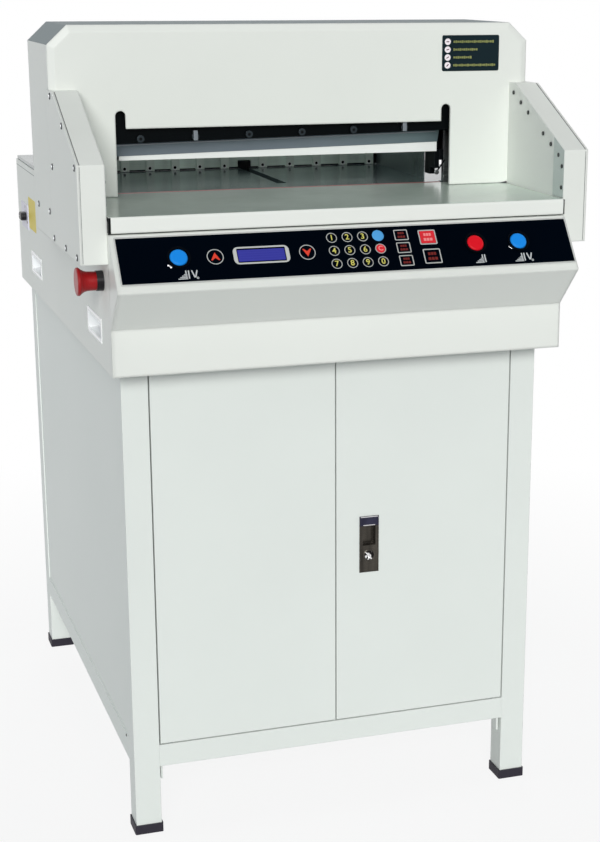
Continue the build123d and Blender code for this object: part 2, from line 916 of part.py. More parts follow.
with BuildPart() as button_bezels:
    for x in button_places:
        face_bar(x, 0, bezel_height, bezel_radius)
        face_bar(x, -barrel_floor, 0, barrel_outer)
        face_bar(x, -barrel_floor + bezel_height, bezel_height + overrun, bezel_bore, Mode.SUBTRACT)
        face_bar(x, -barrel_floor - overrun, 0, button_stem_radius + running, Mode.SUBTRACT)
keep(button_bezels, "button_bezels")

for x, label in zip(button_places, ("cut_button_left", "clamp_button", "cut_button_right")):
    with BuildPart() as button:
        face_bar(x, -button_lift, button_lift, button_radius)
        crown = button.edges().filter_by(GeomType.CIRCLE).sort_by(Axis.Z)[-1]
        fillet(crown, radius=button_crown)
        face_bar(x, -button_stem_length, 0, button_stem_radius)
    keep(button, label)

with BuildPart() as control_board:
    board_front = -board_gap
    display_base = display_width - 2 * window_ledge + display_thickness
    board_ends = (cut_button_left_x + board_left_gap, clamp_button_x - board_right_gap)
    board_x = sum(board_ends) / 2
    board_width = board_ends[1] - board_ends[0]
    face_block(
        board_x, panel_centre[1], board_width, board_height,
        board_front - board_thickness, board_front,
    )
    face_block(
        display_x, display_row, display_base, display_height - window_ledge,
        board_front, -panel_thickness,
    )
    for count in range(chip_count):
        chip_x = board_x + (count + 0.5) * board_width / chip_count - board_width / 2
        face_block(
            chip_x, panel_centre[1], chip_size, chip_size,
            board_front, board_front + chip_height,
        )
keep(control_board, "control_board")

# Emergency stop on the left side, turned to release
side_face = -housing_half
collar_face = side_face - collar_length
head_face = collar_face - neck_length
head_end = head_face - head_length
stem_end = head_face - head_length / 2

with BuildPart() as estop_collar:
    bar_x(side_face, collar_face, stop_y, stop_height, collar_radius)
    bar_x(
        side_face + overrun, collar_face - overrun,
        stop_y, stop_height, stem_radius + running, Mode.SUBTRACT,
    )
    bar_x(
        collar_face + collar_pocket, collar_face - overrun,
        stop_y, stop_height, neck_radius + face_gap, Mode.SUBTRACT,
    )
keep(estop_collar, "estop_collar")

with BuildPart() as estop_stem:
    bar_x(side_face + stem_inside, stem_end, stop_y, stop_height, stem_radius)
keep(estop_stem, "estop_stem")

with BuildPart() as estop_button:
    bar_x(head_face, head_end, stop_y, stop_height, head_radius)
    rims = estop_button.edges().filter_by(GeomType.CIRCLE).sort_by(Axis.X)
    fillet(rims[0], radius=head_crown)
    fillet(estop_button.edges().filter_by(GeomType.CIRCLE).sort_by(Axis.X)[-1], radius=bend_radius)
    bar_x(collar_face + face_gap, head_face - head_length / 2, stop_y, stop_height, neck_radius)
    bar_x(
        collar_face + overrun, stem_end - running,
        stop_y, stop_height, stem_radius + running, Mode.SUBTRACT,
    )
keep(estop_button, "estop_button")

# Power switch at the rear of the left side
plate_face = side_face - switch_plate_sheet
body_end = side_face + switch_body_depth
spindle_hole_end = plate_face + knob_spindle_length + running

with BuildPart() as switch_plate:
    block(
        (plate_face, side_face),
        (switch_plate_front, switch_plate_front + switch_plate_length),
        (switch_height - switch_plate_height / 2, switch_height + switch_plate_height / 2),
    )
    block(
        (side_face, body_end),
        (switch_y - switch_body_size / 2, switch_y + switch_body_size / 2),
        (switch_height - switch_body_size / 2, switch_height + switch_body_size / 2),
    )
    bar_x(
        plate_face - overrun, spindle_hole_end,
        switch_y, switch_height, knob_spindle_radius + running, Mode.SUBTRACT,
    )
keep(switch_plate, "switch_plate")

knob_face = plate_face - face_gap

with BuildPart() as power_knob:
    with BuildSketch(side_view(knob_face)):
        with Locations((switch_y, switch_height)):
            SlotOverall(knob_length, knob_width)
    extrude(amount=-knob_height)
    fillet(power_knob.faces().sort_by(Axis.X)[0].edges(), radius=knob_edge)
    bar_x(knob_face, plate_face + knob_spindle_length, switch_y, switch_height, knob_spindle_radius)
keep(power_knob, "power_knob")

# Covers of the gantry
strip_inner = housing_half + seam_gap
corner_outline = [
    (gantry_left, gantry_top - corner_height),
    (gantry_left + corner_width, gantry_top),
    (gantry_right - corner_width, gantry_top),
    (gantry_right, gantry_top - corner_height),
]
gantry_outline = [
    *corner_outline,
    (gantry_right, gantry_bottom),
    (strip_inner, gantry_bottom),
    (strip_inner, table_top + table_clearance),
    (-strip_inner, table_top + table_clearance),
    (-strip_inner, gantry_bottom),
    (gantry_left, gantry_bottom),
]
bevel_foot = gantry_bottom - edge_bevel
bevel_outline = [*corner_outline, (gantry_right, bevel_foot), (gantry_left, bevel_foot)]
shell_depth = gantry_depth - cover_sheet
slot_radius = end_slot_width / 2

side_screws = [
    (side, arm_front * (1 - y_share), gantry_bottom + z_share * (arm_top - gantry_bottom))
    for side in (-1, 1)
    for y_share, z_share in arm_screw_shares
] + [
    (side, y_share * gantry_depth, gantry_bottom + z_share * (arm_top - gantry_bottom))
    for side in (-1, 1)
    for y_share, z_share in gantry_screw_shares
]


def outer_face(side):
    """The outermost face of the machine on one side."""
    return gantry_left if side < 0 else arm_right


def screw_shanks(mode):
    """The shanks of the cover screws, or their holes."""
    for side, y, z in side_screws:
        face = outer_face(side)
        bar_x(face, face - side * (arm_cover_sheet + arm_sheet), y, z, screw_shank_radius, mode)


with BuildPart() as gantry_front_cover:
    with BuildSketch(front_view(edge_bevel_depth)):
        Polygon(*bevel_outline, align=None)
    with BuildSketch(front_view(0)):
        Polygon(*bevel_outline, align=None)
        offset(amount=-edge_bevel, kind=Kind.INTERSECTION, mode=Mode.REPLACE)
    loft(ruled=True)
    block(
        (gantry_left - overrun, gantry_right + overrun),
        (-overrun, edge_bevel_depth + overrun),
        (bevel_foot - overrun, gantry_bottom),
        Mode.SUBTRACT,
    )
    block(
        (-strip_inner, strip_inner),
        (-overrun, edge_bevel_depth + overrun),
        (gantry_bottom - overrun, table_top + table_clearance),
        Mode.SUBTRACT,
    )
    with BuildSketch(front_view(edge_bevel_depth)):
        Polygon(*gantry_outline, align=None)
    extrude(amount=edge_bevel_depth - shell_depth)
    with BuildSketch(front_view(front_plate)):
        Polygon(*gantry_outline, align=None)
        offset(amount=-cover_sheet, kind=Kind.INTERSECTION, mode=Mode.REPLACE)
        with Locations((0, table_top)):
            Rectangle(2 * strip_inner, 2 * (cover_sheet + overrun))
    extrude(amount=-gantry_depth, mode=Mode.SUBTRACT)
    with BuildSketch(front_view(-overrun)):
        with Locations(((throat_left + throat_right) / 2, throat_top)):
            Rectangle(
                throat_right - throat_left, 2 * (throat_top - table_top),
                align=(Align.CENTER, Align.MAX),
            )
        for slot_x in (throat_left + slot_radius, throat_right - slot_radius):
            with Locations((slot_x, end_slot_top - slot_radius)):
                Circle(slot_radius)
                Rectangle(
                    end_slot_width, 2 * (end_slot_top - throat_top),
                    align=(Align.CENTER, Align.MAX),
                )
    extrude(amount=-(front_plate + 2 * overrun), mode=Mode.SUBTRACT)
    block(
        (gantry_left - overrun, gantry_left + arm_cover_sheet),
        (-overrun, cover_seam),
        (gantry_bottom - overrun, arm_top),
        Mode.SUBTRACT,
    )
    screw_shanks(Mode.SUBTRACT)
keep(gantry_front_cover, "gantry_front_cover")

with BuildPart() as gantry_rear_cover:
    with BuildSketch(front_view(shell_depth)):
        Polygon(*gantry_outline, align=None)
        with Locations((0, throat_top)):
            Rectangle(
                2 * rear_mouth_half, 2 * (throat_top - table_top),
                align=(Align.CENTER, Align.MAX), mode=Mode.SUBTRACT,
            )
    extrude(amount=-cover_sheet)
keep(gantry_rear_cover, "gantry_rear_cover")

# Arms each side of the front table, with the lenses of a light guard
arm_slope = [(arm_front, gantry_bottom), (arm_front, arm_front_top), (-arm_level, arm_top)]
arm_outline = [*arm_slope, (0, arm_top), (0, gantry_bottom)]
right_arm_rear = [(0, gantry_bottom), (0, arm_top), (gantry_depth, arm_top), (gantry_depth, gantry_bottom)]
slope_run = -arm_front - arm_level
slope_length = math.hypot(slope_run, arm_fall)
lens_places = [
    (
        -arm_level - slope_run * share + lens_inset * arm_fall / slope_length,
        arm_top - arm_fall * share - lens_inset * slope_run / slope_length,
    )
    for share in lens_slope_shares
] + [
    (arm_front + lens_front_inset, gantry_bottom + (arm_front_top - gantry_bottom) * share)
    for share in lens_front_shares
]
left_arm_sheet = gantry_left + arm_cover_sheet
right_arm_sheet = arm_right - arm_cover_sheet


def lens_bars(mode):
    """The lenses in both arms, or their holes."""
    for side in (-1, 1):
        inner = side * housing_half
        for y, z in lens_places:
            bar_x(inner - side * lens_proud, inner + side * 2 * arm_sheet, y, z, lens_radius, mode)


for label, boxes in (
    ("left_arm", [(arm_outline, -housing_half, left_arm_sheet)]),
    ("right_arm", [
        (arm_outline, housing_half, right_arm_sheet),
        (right_arm_rear, gantry_right, right_arm_sheet),
    ]),
):
    with BuildPart() as arm:
        for outline, inner, outer in boxes:
            with BuildSketch(side_view(inner)):
                Polygon(*outline, align=None)
            extrude(amount=outer - inner)
        for outline, inner, outer in boxes:
            side = math.copysign(1, outer)
            with BuildSketch(side_view(inner + side * arm_sheet)):
                Polygon(*outline, align=None)
                offset(amount=-arm_sheet, kind=Kind.INTERSECTION, mode=Mode.REPLACE)
            extrude(amount=outer - inner - side * 2 * arm_sheet, mode=Mode.SUBTRACT)
            with BuildSketch(side_view(inner + side * arm_sheet)):
                Polygon(*outline, align=None)
                offset(amount=-arm_flange, kind=Kind.INTERSECTION, mode=Mode.REPLACE)
            extrude(amount=outer - inner + side * overrun, mode=Mode.SUBTRACT)
        lens_bars(Mode.SUBTRACT)
        screw_shanks(Mode.SUBTRACT)
    keep(arm, label)

with BuildPart() as arm_covers:
    for face, depth, rear in (
        (gantry_left, arm_cover_sheet, cover_seam),
        (arm_right, -arm_cover_sheet, gantry_depth),
    ):
        with BuildSketch(side_view(face)):
            Polygon(*arm_slope, (rear, arm_top), (rear, gantry_bottom), align=None)
        extrude(amount=depth)
    screw_shanks(Mode.SUBTRACT)
keep(arm_covers, "arm_covers")

with BuildPart() as sensor_windows:
    lens_bars(Mode.ADD)
keep(sensor_windows, "sensor_windows")

with BuildPart() as case_screws:
    for side, y, z in side_screws:
        face = outer_face(side)
        bar_x(face, face + side * screw_head, y, z, screw_radius)
    heads = case_screws.edges().filter_by(GeomType.CIRCLE).group_by(Axis.X)
    fillet(heads[0] + heads[-1], radius=screw_head / 2)
    screw_shanks(Mode.ADD)
keep(case_screws, "case_screws")

# Beam over the throat, grooved for the knife's rollers
beam_rear = beam_front + beam_depth
groove_run = math.hypot(knife_sideways, knife_drop)
groove_angle = -math.degrees(math.atan2(knife_drop, knife_sideways))
tilt = math.radians(knife_tilt)
left_roller = (pin_x + roller_left * math.cos(tilt), pin_height + roller_left * math.sin(tilt))
left_roller_end = (pin_x + roller_left + knife_sideways, pin_height - knife_drop)
left_run = math.hypot(left_roller_end[0] - left_roller[0], left_roller_end[1] - left_roller[1])
left_angle = math.degrees(
    math.atan2(left_roller_end[1] - left_roller[1], left_roller_end[0] - left_roller[0])
)
clamp_screw_x = (clamp_left + clamp_right) / 2
rod_places = (clamp_screw_x - clamp_rod_spread, clamp_screw_x + clamp_rod_spread)
rod_y = clamp_screw_y - face_gap * 2

with BuildPart() as gantry_beam:
    block((-frame_inner, frame_inner), (beam_front, beam_rear), (beam_bottom, column_top))
    with BuildSketch(front_view(beam_front - overrun)):
        with Locations((pin_x + knife_sideways / 2, pin_height - knife_drop / 2)):
            SlotCenterToCenter(groove_run, 2 * groove_radius, rotation=groove_angle)
        with Locations(
            ((left_roller[0] + left_roller_end[0]) / 2, (left_roller[1] + left_roller_end[1]) / 2)
        ):
            SlotCenterToCenter(left_run, 2 * groove_radius, rotation=left_angle)
    extrude(amount=-(groove_depth + overrun), mode=Mode.SUBTRACT)
    bar_z(
        beam_bottom - overrun, boss_top + boss_clearance,
        clamp_screw_x, clamp_screw_y, boss_radius + boss_clearance, Mode.SUBTRACT,
    )
    bar_z(
        beam_bottom, column_top + overrun,
        clamp_screw_x, clamp_screw_y, clamp_screw_radius + face_gap, Mode.SUBTRACT,
    )
    for x in rod_places:
        bar_z(
            beam_bottom - overrun, column_top + overrun,
            x, rod_y, clamp_rod_radius + running, Mode.SUBTRACT,
        )
keep(gantry_beam, "gantry_beam")


def knife_view(y):
    """The drawing plane of the tilted knife at depth y, with its origin on the pivot pin."""
    return Plane(
        origin=(pin_x, y, pin_height),
        x_dir=(math.cos(tilt), 0, math.sin(tilt)),
        z_dir=(0, -1, 0),
    )


def knife_bar(start, end, along, above, radius, mode=Mode.ADD):
    """A round bar along y, placed along and above the tilted knife."""
    x = pin_x + along * math.cos(tilt) - above * math.sin(tilt)
    z = pin_height + along * math.sin(tilt) + above * math.cos(tilt)
    bar_y(start, end, x, z, radius, mode)


carrier_rear = carrier_front + carrier_depth
carrier_bottom = -edge_below_pin + blade_bevel
blade_top = -edge_below_pin + blade_height
bolt_row = -edge_below_pin + bolt_above_edge
bolt_places = [bolt_first + count * bolt_pitch for count in range(bolt_count)]

with BuildPart() as knife_carrier:
    with BuildSketch(knife_view(carrier_front)):
        with Locations(((carrier_left + carrier_right) / 2, (carrier_bottom + carrier_top) / 2)):
            Rectangle(carrier_right - carrier_left, carrier_top - carrier_bottom)
    extrude(amount=-carrier_depth)
    knife_bar(carrier_front - overrun, carrier_rear + overrun, 0, 0, pin_radius + running, Mode.SUBTRACT)
    knife_bar(carrier_front - overrun, carrier_rear + overrun, roller_left, 0, pin_radius, Mode.SUBTRACT)
    for along in bolt_places:
        knife_bar(
            carrier_front - overrun, carrier_rear + overrun,
            along, bolt_row, bolt_radius, Mode.SUBTRACT,
        )
keep(knife_carrier, "knife_carrier")

with BuildPart() as knife_blade:
    with BuildSketch(knife_view(carrier_rear)):
        with Locations(((blade_left + blade_right) / 2, (blade_top - edge_below_pin) / 2)):
            Rectangle(blade_right - blade_left, blade_height)
    extrude(amount=-blade_depth)
    lower_edges = knife_blade.edges().filter_by(
        lambda edge: abs(edge.tangent_at(0).X) > abs(edge.tangent_at(0).Z)
        and abs(edge.tangent_at(0).X) > abs(edge.tangent_at(0).Y)
    )
    bevel_edge = lower_edges.sort_by(Axis.Z)[:2].sort_by(Axis.Y)[0]
    bevel_face = knife_blade.faces().sort_by(Axis.Y)[0]
    chamfer(bevel_edge, length=blade_bevel, length2=blade_depth - edge_flat, reference=bevel_face)
    for along in bolt_places:
        knife_bar(
            carrier_rear - overrun, carrier_rear + bolt_bite,
            along, bolt_row, bolt_radius, Mode.SUBTRACT,
        )
keep(knife_blade, "knife_blade")

roller_rear = beam_front + groove_depth - face_gap

with BuildPart() as knife_bolts:
    for along in bolt_places:
        knife_bar(carrier_front - bolt_head_depth, carrier_front, along, bolt_row, bolt_head_radius)
        knife_bar(carrier_front, carrier_rear + bolt_bite, along, bolt_row, bolt_radius)
    knife_bar(carrier_front - pin_head_depth, carrier_front, roller_left, 0, pin_head_radius)
    knife_bar(carrier_front, roller_rear, roller_left, 0, pin_radius)
    knife_bar(beam_front + face_gap, roller_rear, roller_left, 0, roller_radius)
keep(knife_bolts, "knife_bolts")

with BuildPart() as knife_pivot_pin:
    bar_y(carrier_front - pin_head_depth, carrier_front - running, pin_x, pin_height, pin_head_radius)
    bar_y(carrier_front - pin_head_depth, roller_rear, pin_x, pin_height, pin_radius)
    bar_y(beam_front + face_gap, roller_rear, pin_x, pin_height, roller_radius)
keep(knife_pivot_pin, "knife_pivot_pin")

# Pull rod with a slotted foot, and the rocking lever that drives it
rod_rear = rod_front + rod_depth
lever_arm = knife_drop / (2 * math.sin(math.radians(lever_swing / 2)))
lever_roller_x = pin_x + rod_slot_right
lever_hub_x = lever_roller_x - lever_arm * math.cos(math.radians(lever_swing / 2))
lever_hub_z = rod_slot_height - knife_drop / 2
slot_middle = lever_roller_x - knife_sideways / 2
slot_half_height = lever_roller_radius + rod_slot_clearance
foot_half_length = knife_sideways / 2 + rod_foot_end + slot_half_height + rod_foot_left_wall

with BuildPart() as pull_rod:
    block(
        (pin_x - rod_width / 2, pin_x + rod_width / 2),
        (rod_front, rod_rear),
        (rod_slot_height, pin_height + rod_head),
    )
    block(
        (slot_middle - foot_half_length, slot_middle + foot_half_length),
        (rod_front, rod_rear),
        (
            rod_slot_height - slot_half_height - rod_foot_wall,
            rod_slot_height + slot_half_height + rod_foot_wall,
        ),
    )
    with BuildSketch(front_view(rod_front - overrun)):
        with Locations((slot_middle, rod_slot_height)):
            SlotCenterToCenter(knife_sideways + 2 * rod_foot_end, 2 * slot_half_height)
    extrude(amount=-(rod_depth + 2 * overrun), mode=Mode.SUBTRACT)
    bar_y(rod_front - overrun, rod_rear + overrun, pin_x, pin_height, pin_radius, Mode.SUBTRACT)
keep(pull_rod, "pull_rod")

shaft_end = gearbox_front + lever_shaft_grip

with BuildPart() as knife_lever:
    with BuildSketch(front_view(lever_front)):
        with Locations(((lever_hub_x + lever_roller_x) / 2, (lever_hub_z + rod_slot_height) / 2)):
            SlotCenterToCenter(lever_arm, lever_width, rotation=lever_swing / 2)
    extrude(amount=-lever_depth)
    bar_y(lever_front, rod_rear, lever_roller_x, rod_slot_height, lever_roller_radius)
    bar_y(lever_front, shaft_end, lever_hub_x, lever_hub_z, lever_shaft_radius)
keep(knife_lever, "knife_lever")

gearbox_rear = gearbox_front + gearbox_depth

with BuildPart() as knife_gearmotor:
    block(
        (gearbox_left, frame_inner),
        (gearbox_front, gearbox_rear),
        (gearbox_bottom, gearbox_bottom + gearbox_height),
    )
    bar_x(
        gearbox_left - knife_motor_length, gearbox_left,
        gearbox_front + gearbox_depth / 2, gearbox_bottom + gearbox_height / 2, knife_motor_radius,
    )
    bar_y(
        gearbox_front - overrun, shaft_end + running,
        lever_hub_x, lever_hub_z, lever_shaft_radius + running, Mode.SUBTRACT,
    )
keep(knife_gearmotor, "knife_gearmotor")

# Clamp with its screw, guide rods and motor
clamp_rear = clamp_front + clamp_depth
nut_bottom = boss_top - nut_height

with BuildPart() as clamp_beam:
    block((clamp_left, clamp_right), (clamp_front, clamp_rear), (clamp_bottom, clamp_top))
    bar_z(clamp_bottom + cover_sheet, boss_top, clamp_screw_x, clamp_screw_y, boss_radius)
    bar_z(
        screw_bottom - nut_relief, nut_bottom,
        clamp_screw_x, clamp_screw_y, clamp_screw_radius + nut_relief, Mode.SUBTRACT,
    )
    bar_z(
        nut_bottom, boss_top + overrun,
        clamp_screw_x, clamp_screw_y, clamp_screw_radius + running, Mode.SUBTRACT,
    )
keep(clamp_beam, "clamp_beam")

with BuildPart() as clamp_guide_rods:
    for x in rod_places:
        bar_z(clamp_top, clamp_rod_top, x, rod_y, clamp_rod_radius)
keep(clamp_guide_rods, "clamp_guide_rods")

with BuildPart() as clamp_guides:
    post_y = (post_front, post_front + post_depth)
    right_post_x = (clamp_right + post_gap, clamp_right + post_gap + post_width)
    block((clamp_left - post_gap - post_width, clamp_left - post_gap), post_y, (post_bottom, beam_bottom))
    block(right_post_x, post_y, (post_bottom, beam_bottom))
    block(
        (right_post_x[0], right_post_x[0] + switch_box_width),
        (clamp_front + face_gap, post_front),
        (switch_box_bottom, switch_box_bottom + switch_box_height),
    )
keep(clamp_guides, "clamp_guides")

screw_top = column_top + clamp_gearbox_height * clamp_screw_grip_share

with BuildPart() as clamp_screw:
    bar_z(screw_bottom, screw_top, clamp_screw_x, clamp_screw_y, clamp_screw_radius)
keep(clamp_screw, "clamp_screw")

with BuildPart() as clamp_gearmotor:
    block(
        (clamp_screw_x - clamp_gearbox_width / 2, clamp_screw_x + clamp_gearbox_width / 2),
        (clamp_gearbox_front, clamp_gearbox_front + clamp_gearbox_depth),
        (column_top, column_top + clamp_gearbox_height),
    )
    bar_x(
        clamp_screw_x + clamp_gearbox_width / 2,
        clamp_screw_x + clamp_gearbox_width / 2 + clamp_motor_length,
        clamp_motor_y, column_top + clamp_gearbox_height / 2, clamp_motor_radius,
    )
    bar_z(
        column_top - overrun, screw_top + running,
        clamp_screw_x, clamp_screw_y, clamp_screw_radius + running, Mode.SUBTRACT,
    )
keep(clamp_gearmotor, "clamp_gearmotor")

# Back gauge with its bracket, screw, rods and motor
comb_bottom = table_top + finger_gap
left_finger = gauge_slot_x - left_finger_gap
right_finger = gauge_slot_x + right_finger_gap
left_pitch = (left_finger - comb_left - left_finger_end) / (fingers_a_side - 1)
right_pitch = (comb_right - right_finger_end - right_finger) / (fingers_a_side - 1)
finger_places = [
    *(left_finger - count * left_pitch for count in range(fingers_a_side)),
    *(right_finger + count * right_pitch for count in range(fingers_a_side)),
]
comb_front = gauge_face + finger_depth
comb_rear = comb_front + comb_sheet

with BuildPart() as back_gauge:
    block((comb_left, comb_right), (comb_front, comb_rear), (comb_bottom, comb_top))
    block((comb_left, comb_right), (comb_rear, comb_rear + comb_flange), (comb_top - comb_sheet, comb_top))
    for x in finger_places:
        block(
            (x - finger_width / 2, x + finger_width / 2),
            (gauge_face, comb_front),
            (comb_bottom, comb_top),
        )
    block(
        (gauge_slot_x - toe_width / 2 - toe_gap, gauge_slot_x + toe_width / 2 + toe_gap),
        (comb_front - overrun, comb_rear + overrun),
        (comb_bottom - overrun, comb_bottom + toe_height + toe_gap),
        Mode.SUBTRACT,
    )
keep(back_gauge, "back_gauge")

block_z = (gauge_screw_height - nut_block_height / 2, gauge_screw_height + nut_block_height / 2)
block_y = (comb_front, comb_front + nut_block_depth)
gauge_rod_places = (gauge_slot_x - gauge_rod_spread, gauge_slot_x + gauge_rod_spread)

with BuildPart() as gauge_bracket:
    block((gauge_slot_x - nut_block_width / 2, gauge_slot_x + nut_block_width / 2), block_y, block_z)
    block(
        (gauge_slot_x - neck_width / 2, gauge_slot_x + neck_width / 2),
        block_y,
        (block_z[1], comb_bottom),
    )
    block(
        (gauge_slot_x - toe_width / 2, gauge_slot_x + toe_width / 2),
        (gauge_face, comb_rear + bracket_sheet),
        (comb_bottom, comb_bottom + toe_height),
    )
    block(
        (gauge_slot_x - bracket_width / 2, gauge_slot_x + bracket_width / 2),
        (comb_rear, comb_rear + bracket_sheet),
        (comb_bottom, bracket_top),
    )
    bar_y(
        comb_front - overrun, block_y[1] + overrun, gauge_slot_x, gauge_screw_height,
        gauge_screw_radius + running, Mode.SUBTRACT,
    )
    for x in gauge_rod_places:
        bar_y(
            comb_front - overrun, block_y[1] + overrun, x, gauge_screw_height,
            gauge_rod_radius + running, Mode.SUBTRACT,
        )
keep(gauge_bracket, "gauge_bracket")

coupling_end = frame_rear + gauge_screw_radius

with BuildPart() as gauge_screw:
    bar_y(screw_seat + running, coupling_end, gauge_slot_x, gauge_screw_height, gauge_screw_radius)
keep(gauge_screw, "gauge_screw")

with BuildPart() as gauge_rods:
    for x in gauge_rod_places:
        bar_y(bed_rear, frame_rear - tie_depth, x, gauge_screw_height, gauge_rod_radius)
keep(gauge_rods, "gauge_rods")

with BuildPart() as gauge_motor:
    reach = gauge_motor_size / 2
    block(
        (gauge_slot_x - reach, gauge_slot_x + reach),
        (frame_rear, frame_rear + gauge_motor_length),
        (gauge_screw_height - reach, gauge_screw_height + reach),
    )
    bar_y(
        frame_rear - overrun, coupling_end + running, gauge_slot_x, gauge_screw_height,
        gauge_screw_radius + running, Mode.SUBTRACT,
    )
keep(gauge_motor, "gauge_motor")

# The origin goes to the floor under the middle of the whole machine
boxes = [builder.part.bounding_box() for builder in pieces.values()]
middle = Location(
    (
        -(min(box.min.X for box in boxes) + max(box.max.X for box in boxes)) / 2,
        -(min(box.min.Y for box in boxes) + max(box.max.Y for box in boxes)) / 2,
        0,
    )
)

for label, builder in pieces.items():
    piece = builder.part.moved(middle)
    piece.label = label
    export_step(piece, f"parts/{label}.step")
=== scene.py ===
import math

import bmesh
import bpy
from mathutils import Matrix, Vector


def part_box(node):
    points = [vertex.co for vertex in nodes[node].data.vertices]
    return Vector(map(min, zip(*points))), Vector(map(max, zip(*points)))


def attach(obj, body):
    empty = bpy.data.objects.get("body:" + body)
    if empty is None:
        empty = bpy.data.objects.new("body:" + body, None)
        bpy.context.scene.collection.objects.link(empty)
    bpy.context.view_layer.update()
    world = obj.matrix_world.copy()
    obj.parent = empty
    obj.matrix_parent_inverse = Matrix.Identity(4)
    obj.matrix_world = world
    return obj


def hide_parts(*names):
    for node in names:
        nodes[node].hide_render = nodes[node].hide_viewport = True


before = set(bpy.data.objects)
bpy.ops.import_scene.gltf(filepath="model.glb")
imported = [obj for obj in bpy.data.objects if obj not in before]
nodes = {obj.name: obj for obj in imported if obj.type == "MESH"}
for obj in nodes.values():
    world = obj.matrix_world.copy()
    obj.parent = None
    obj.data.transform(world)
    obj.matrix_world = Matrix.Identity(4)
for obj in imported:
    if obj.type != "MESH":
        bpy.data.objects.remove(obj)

scene = bpy.context.scene
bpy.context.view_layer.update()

# Places are in millimetres from the stand's middle, the gantry's front face and the floor
MM = 0.001
stand_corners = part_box("stand_legs")
ORIGIN = Vector(((stand_corners[0].x + stand_corners[1].x) / 2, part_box("gantry_front_cover")[0].y, 0.0))


def at(x, y, z):
    """A place on the machine, in the frame's metres."""
    return ORIGIN + Vector((x, y, z)) * MM


def span(node):
    """A node's lowest and highest corners, in millimetres on the machine."""
    low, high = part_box(node)
    return (low - ORIGIN) / MM, (high - ORIGIN) / MM


def islands(node):
    """The corners of each separate solid of a node, from left to right."""
    mesh = bmesh.new()
    mesh.from_mesh(nodes[node].data)
    bmesh.ops.remove_doubles(mesh, verts=mesh.verts, dist=0.01 * MM)
    waiting = set(mesh.verts)
    found = []
    while waiting:
        reached = [waiting.pop()]
        corners = []
        while reached:
            corner = reached.pop()
            corners.append((corner.co - ORIGIN) / MM)
            for edge in corner.link_edges:
                other = edge.other_vert(corner)
                if other in waiting:
                    waiting.remove(other)
                    reached.append(other)
        low = Vector([min(corner[axis] for corner in corners) for axis in range(3)])
        high = Vector([max(corner[axis] for corner in corners) for axis in range(3)])
        found.append((low, high))
    mesh.free()
    return sorted(found, key=lambda pair: [round(value, 1) for value in pair[0]])


def tone(red, green, blue):
    """A colour from its values on a screen, for the shader's sockets."""
    def linear(value):
        value /= 255
        return value / 12.92 if value <= 0.04045 else ((value + 0.055) / 1.055) ** 2.4
    return (linear(red), linear(green), linear(blue), 1.0)


def looking(origin, across, up):
    """A matrix at a place, with x across and y up, and z out of the face."""
    across, up = Vector(across).normalized(), Vector(up).normalized()
    turn = Matrix((across, up, across.cross(up))).transposed().to_4x4()
    return Matrix.Translation(origin) @ turn


def front_face(x, y, z):
    """A matrix at a place on a face that looks forward."""
    return looking(at(x, y, z), (1, 0, 0), (0, 0, 1))


# Sizes read from the frame
panel_low, panel_high = span("control_panel")
window_low, window_high = span("display_window")
table_low, table_high = span("front_table")
cover_low, cover_high = span("gantry_front_cover")
arm_low, arm_high = span("left_arm")
lock_low, lock_high = span("lock_plate")
comb_low, comb_high = span("back_gauge")
guide_low, guide_high = span("clamp_guides")
knob_low, knob_high = span("power_knob")
stop_low, stop_high = span("estop_button")
back_low, back_high = span("housing_back")
blade_low, blade_high = span("knife_blade")
TABLE_TOP = table_high.z
HOUSING_LEFT = span("housing_left")[0].x
HOUSING_RIGHT = span("housing_right")[1].x
GANTRY_REAR = span("gantry_rear_cover")[1].y
CARRIER_FRONT = span("knife_carrier")[0].y
SWITCH_PLATE_FACE = span("switch_plate")[0].x

# The arms' flat tops run forward this far, and their slopes fall by this much
ARM_LEVEL = 23.0
ARM_FALL = 78.0
HOUSING_BEND = -14.0

# Sizes of the console's sloped face, which starts at its lip
FACE_RUN = 49.9
FACE_RISE = 64.6
PANEL_THICKNESS = 3.0
PANEL_REACH = 76.8
PANEL_HEIGHT = 64.8
up_slope = Vector((0, FACE_RUN, FACE_RISE)).normalized()
panel_edge = Vector((0, panel_high.y - PANEL_THICKNESS * up_slope.z, panel_high.z))
console_face = looking(at(*(panel_edge - up_slope * PANEL_REACH)), (1, 0, 0), up_slope)

gantry_front = front_face(0, 0, 0)
left_side = looking(at(HOUSING_LEFT, 0, 0), (0, -1, 0), (0, 0, 1))
rear_face = looking(at(0, back_high.y, 0), (-1, 0, 0), (0, 0, 1))


# Camera

def add_camera():
    """The photograph's viewpoint, found from the machine's edges."""
    data = bpy.data.cameras.new("camera")
    data.sensor_width = 36.0
    data.lens = 73.55
    data.shift_x = -0.0779
    data.shift_y = 0.0558
    camera = bpy.data.objects.new("camera", data)
    scene.collection.objects.link(camera)
    turn = (
        Matrix.Rotation(math.radians(-19.0338), 4, "Z")
        @ Matrix.Rotation(math.radians(90 - 16.0303), 4, "X")
        @ Matrix.Rotation(math.radians(0.2104), 4, "Z")
    )
    camera.matrix_world = Matrix.Translation(at(-699.11, -2302.42, 1156.16)) @ turn
    scene.camera = camera


# Light

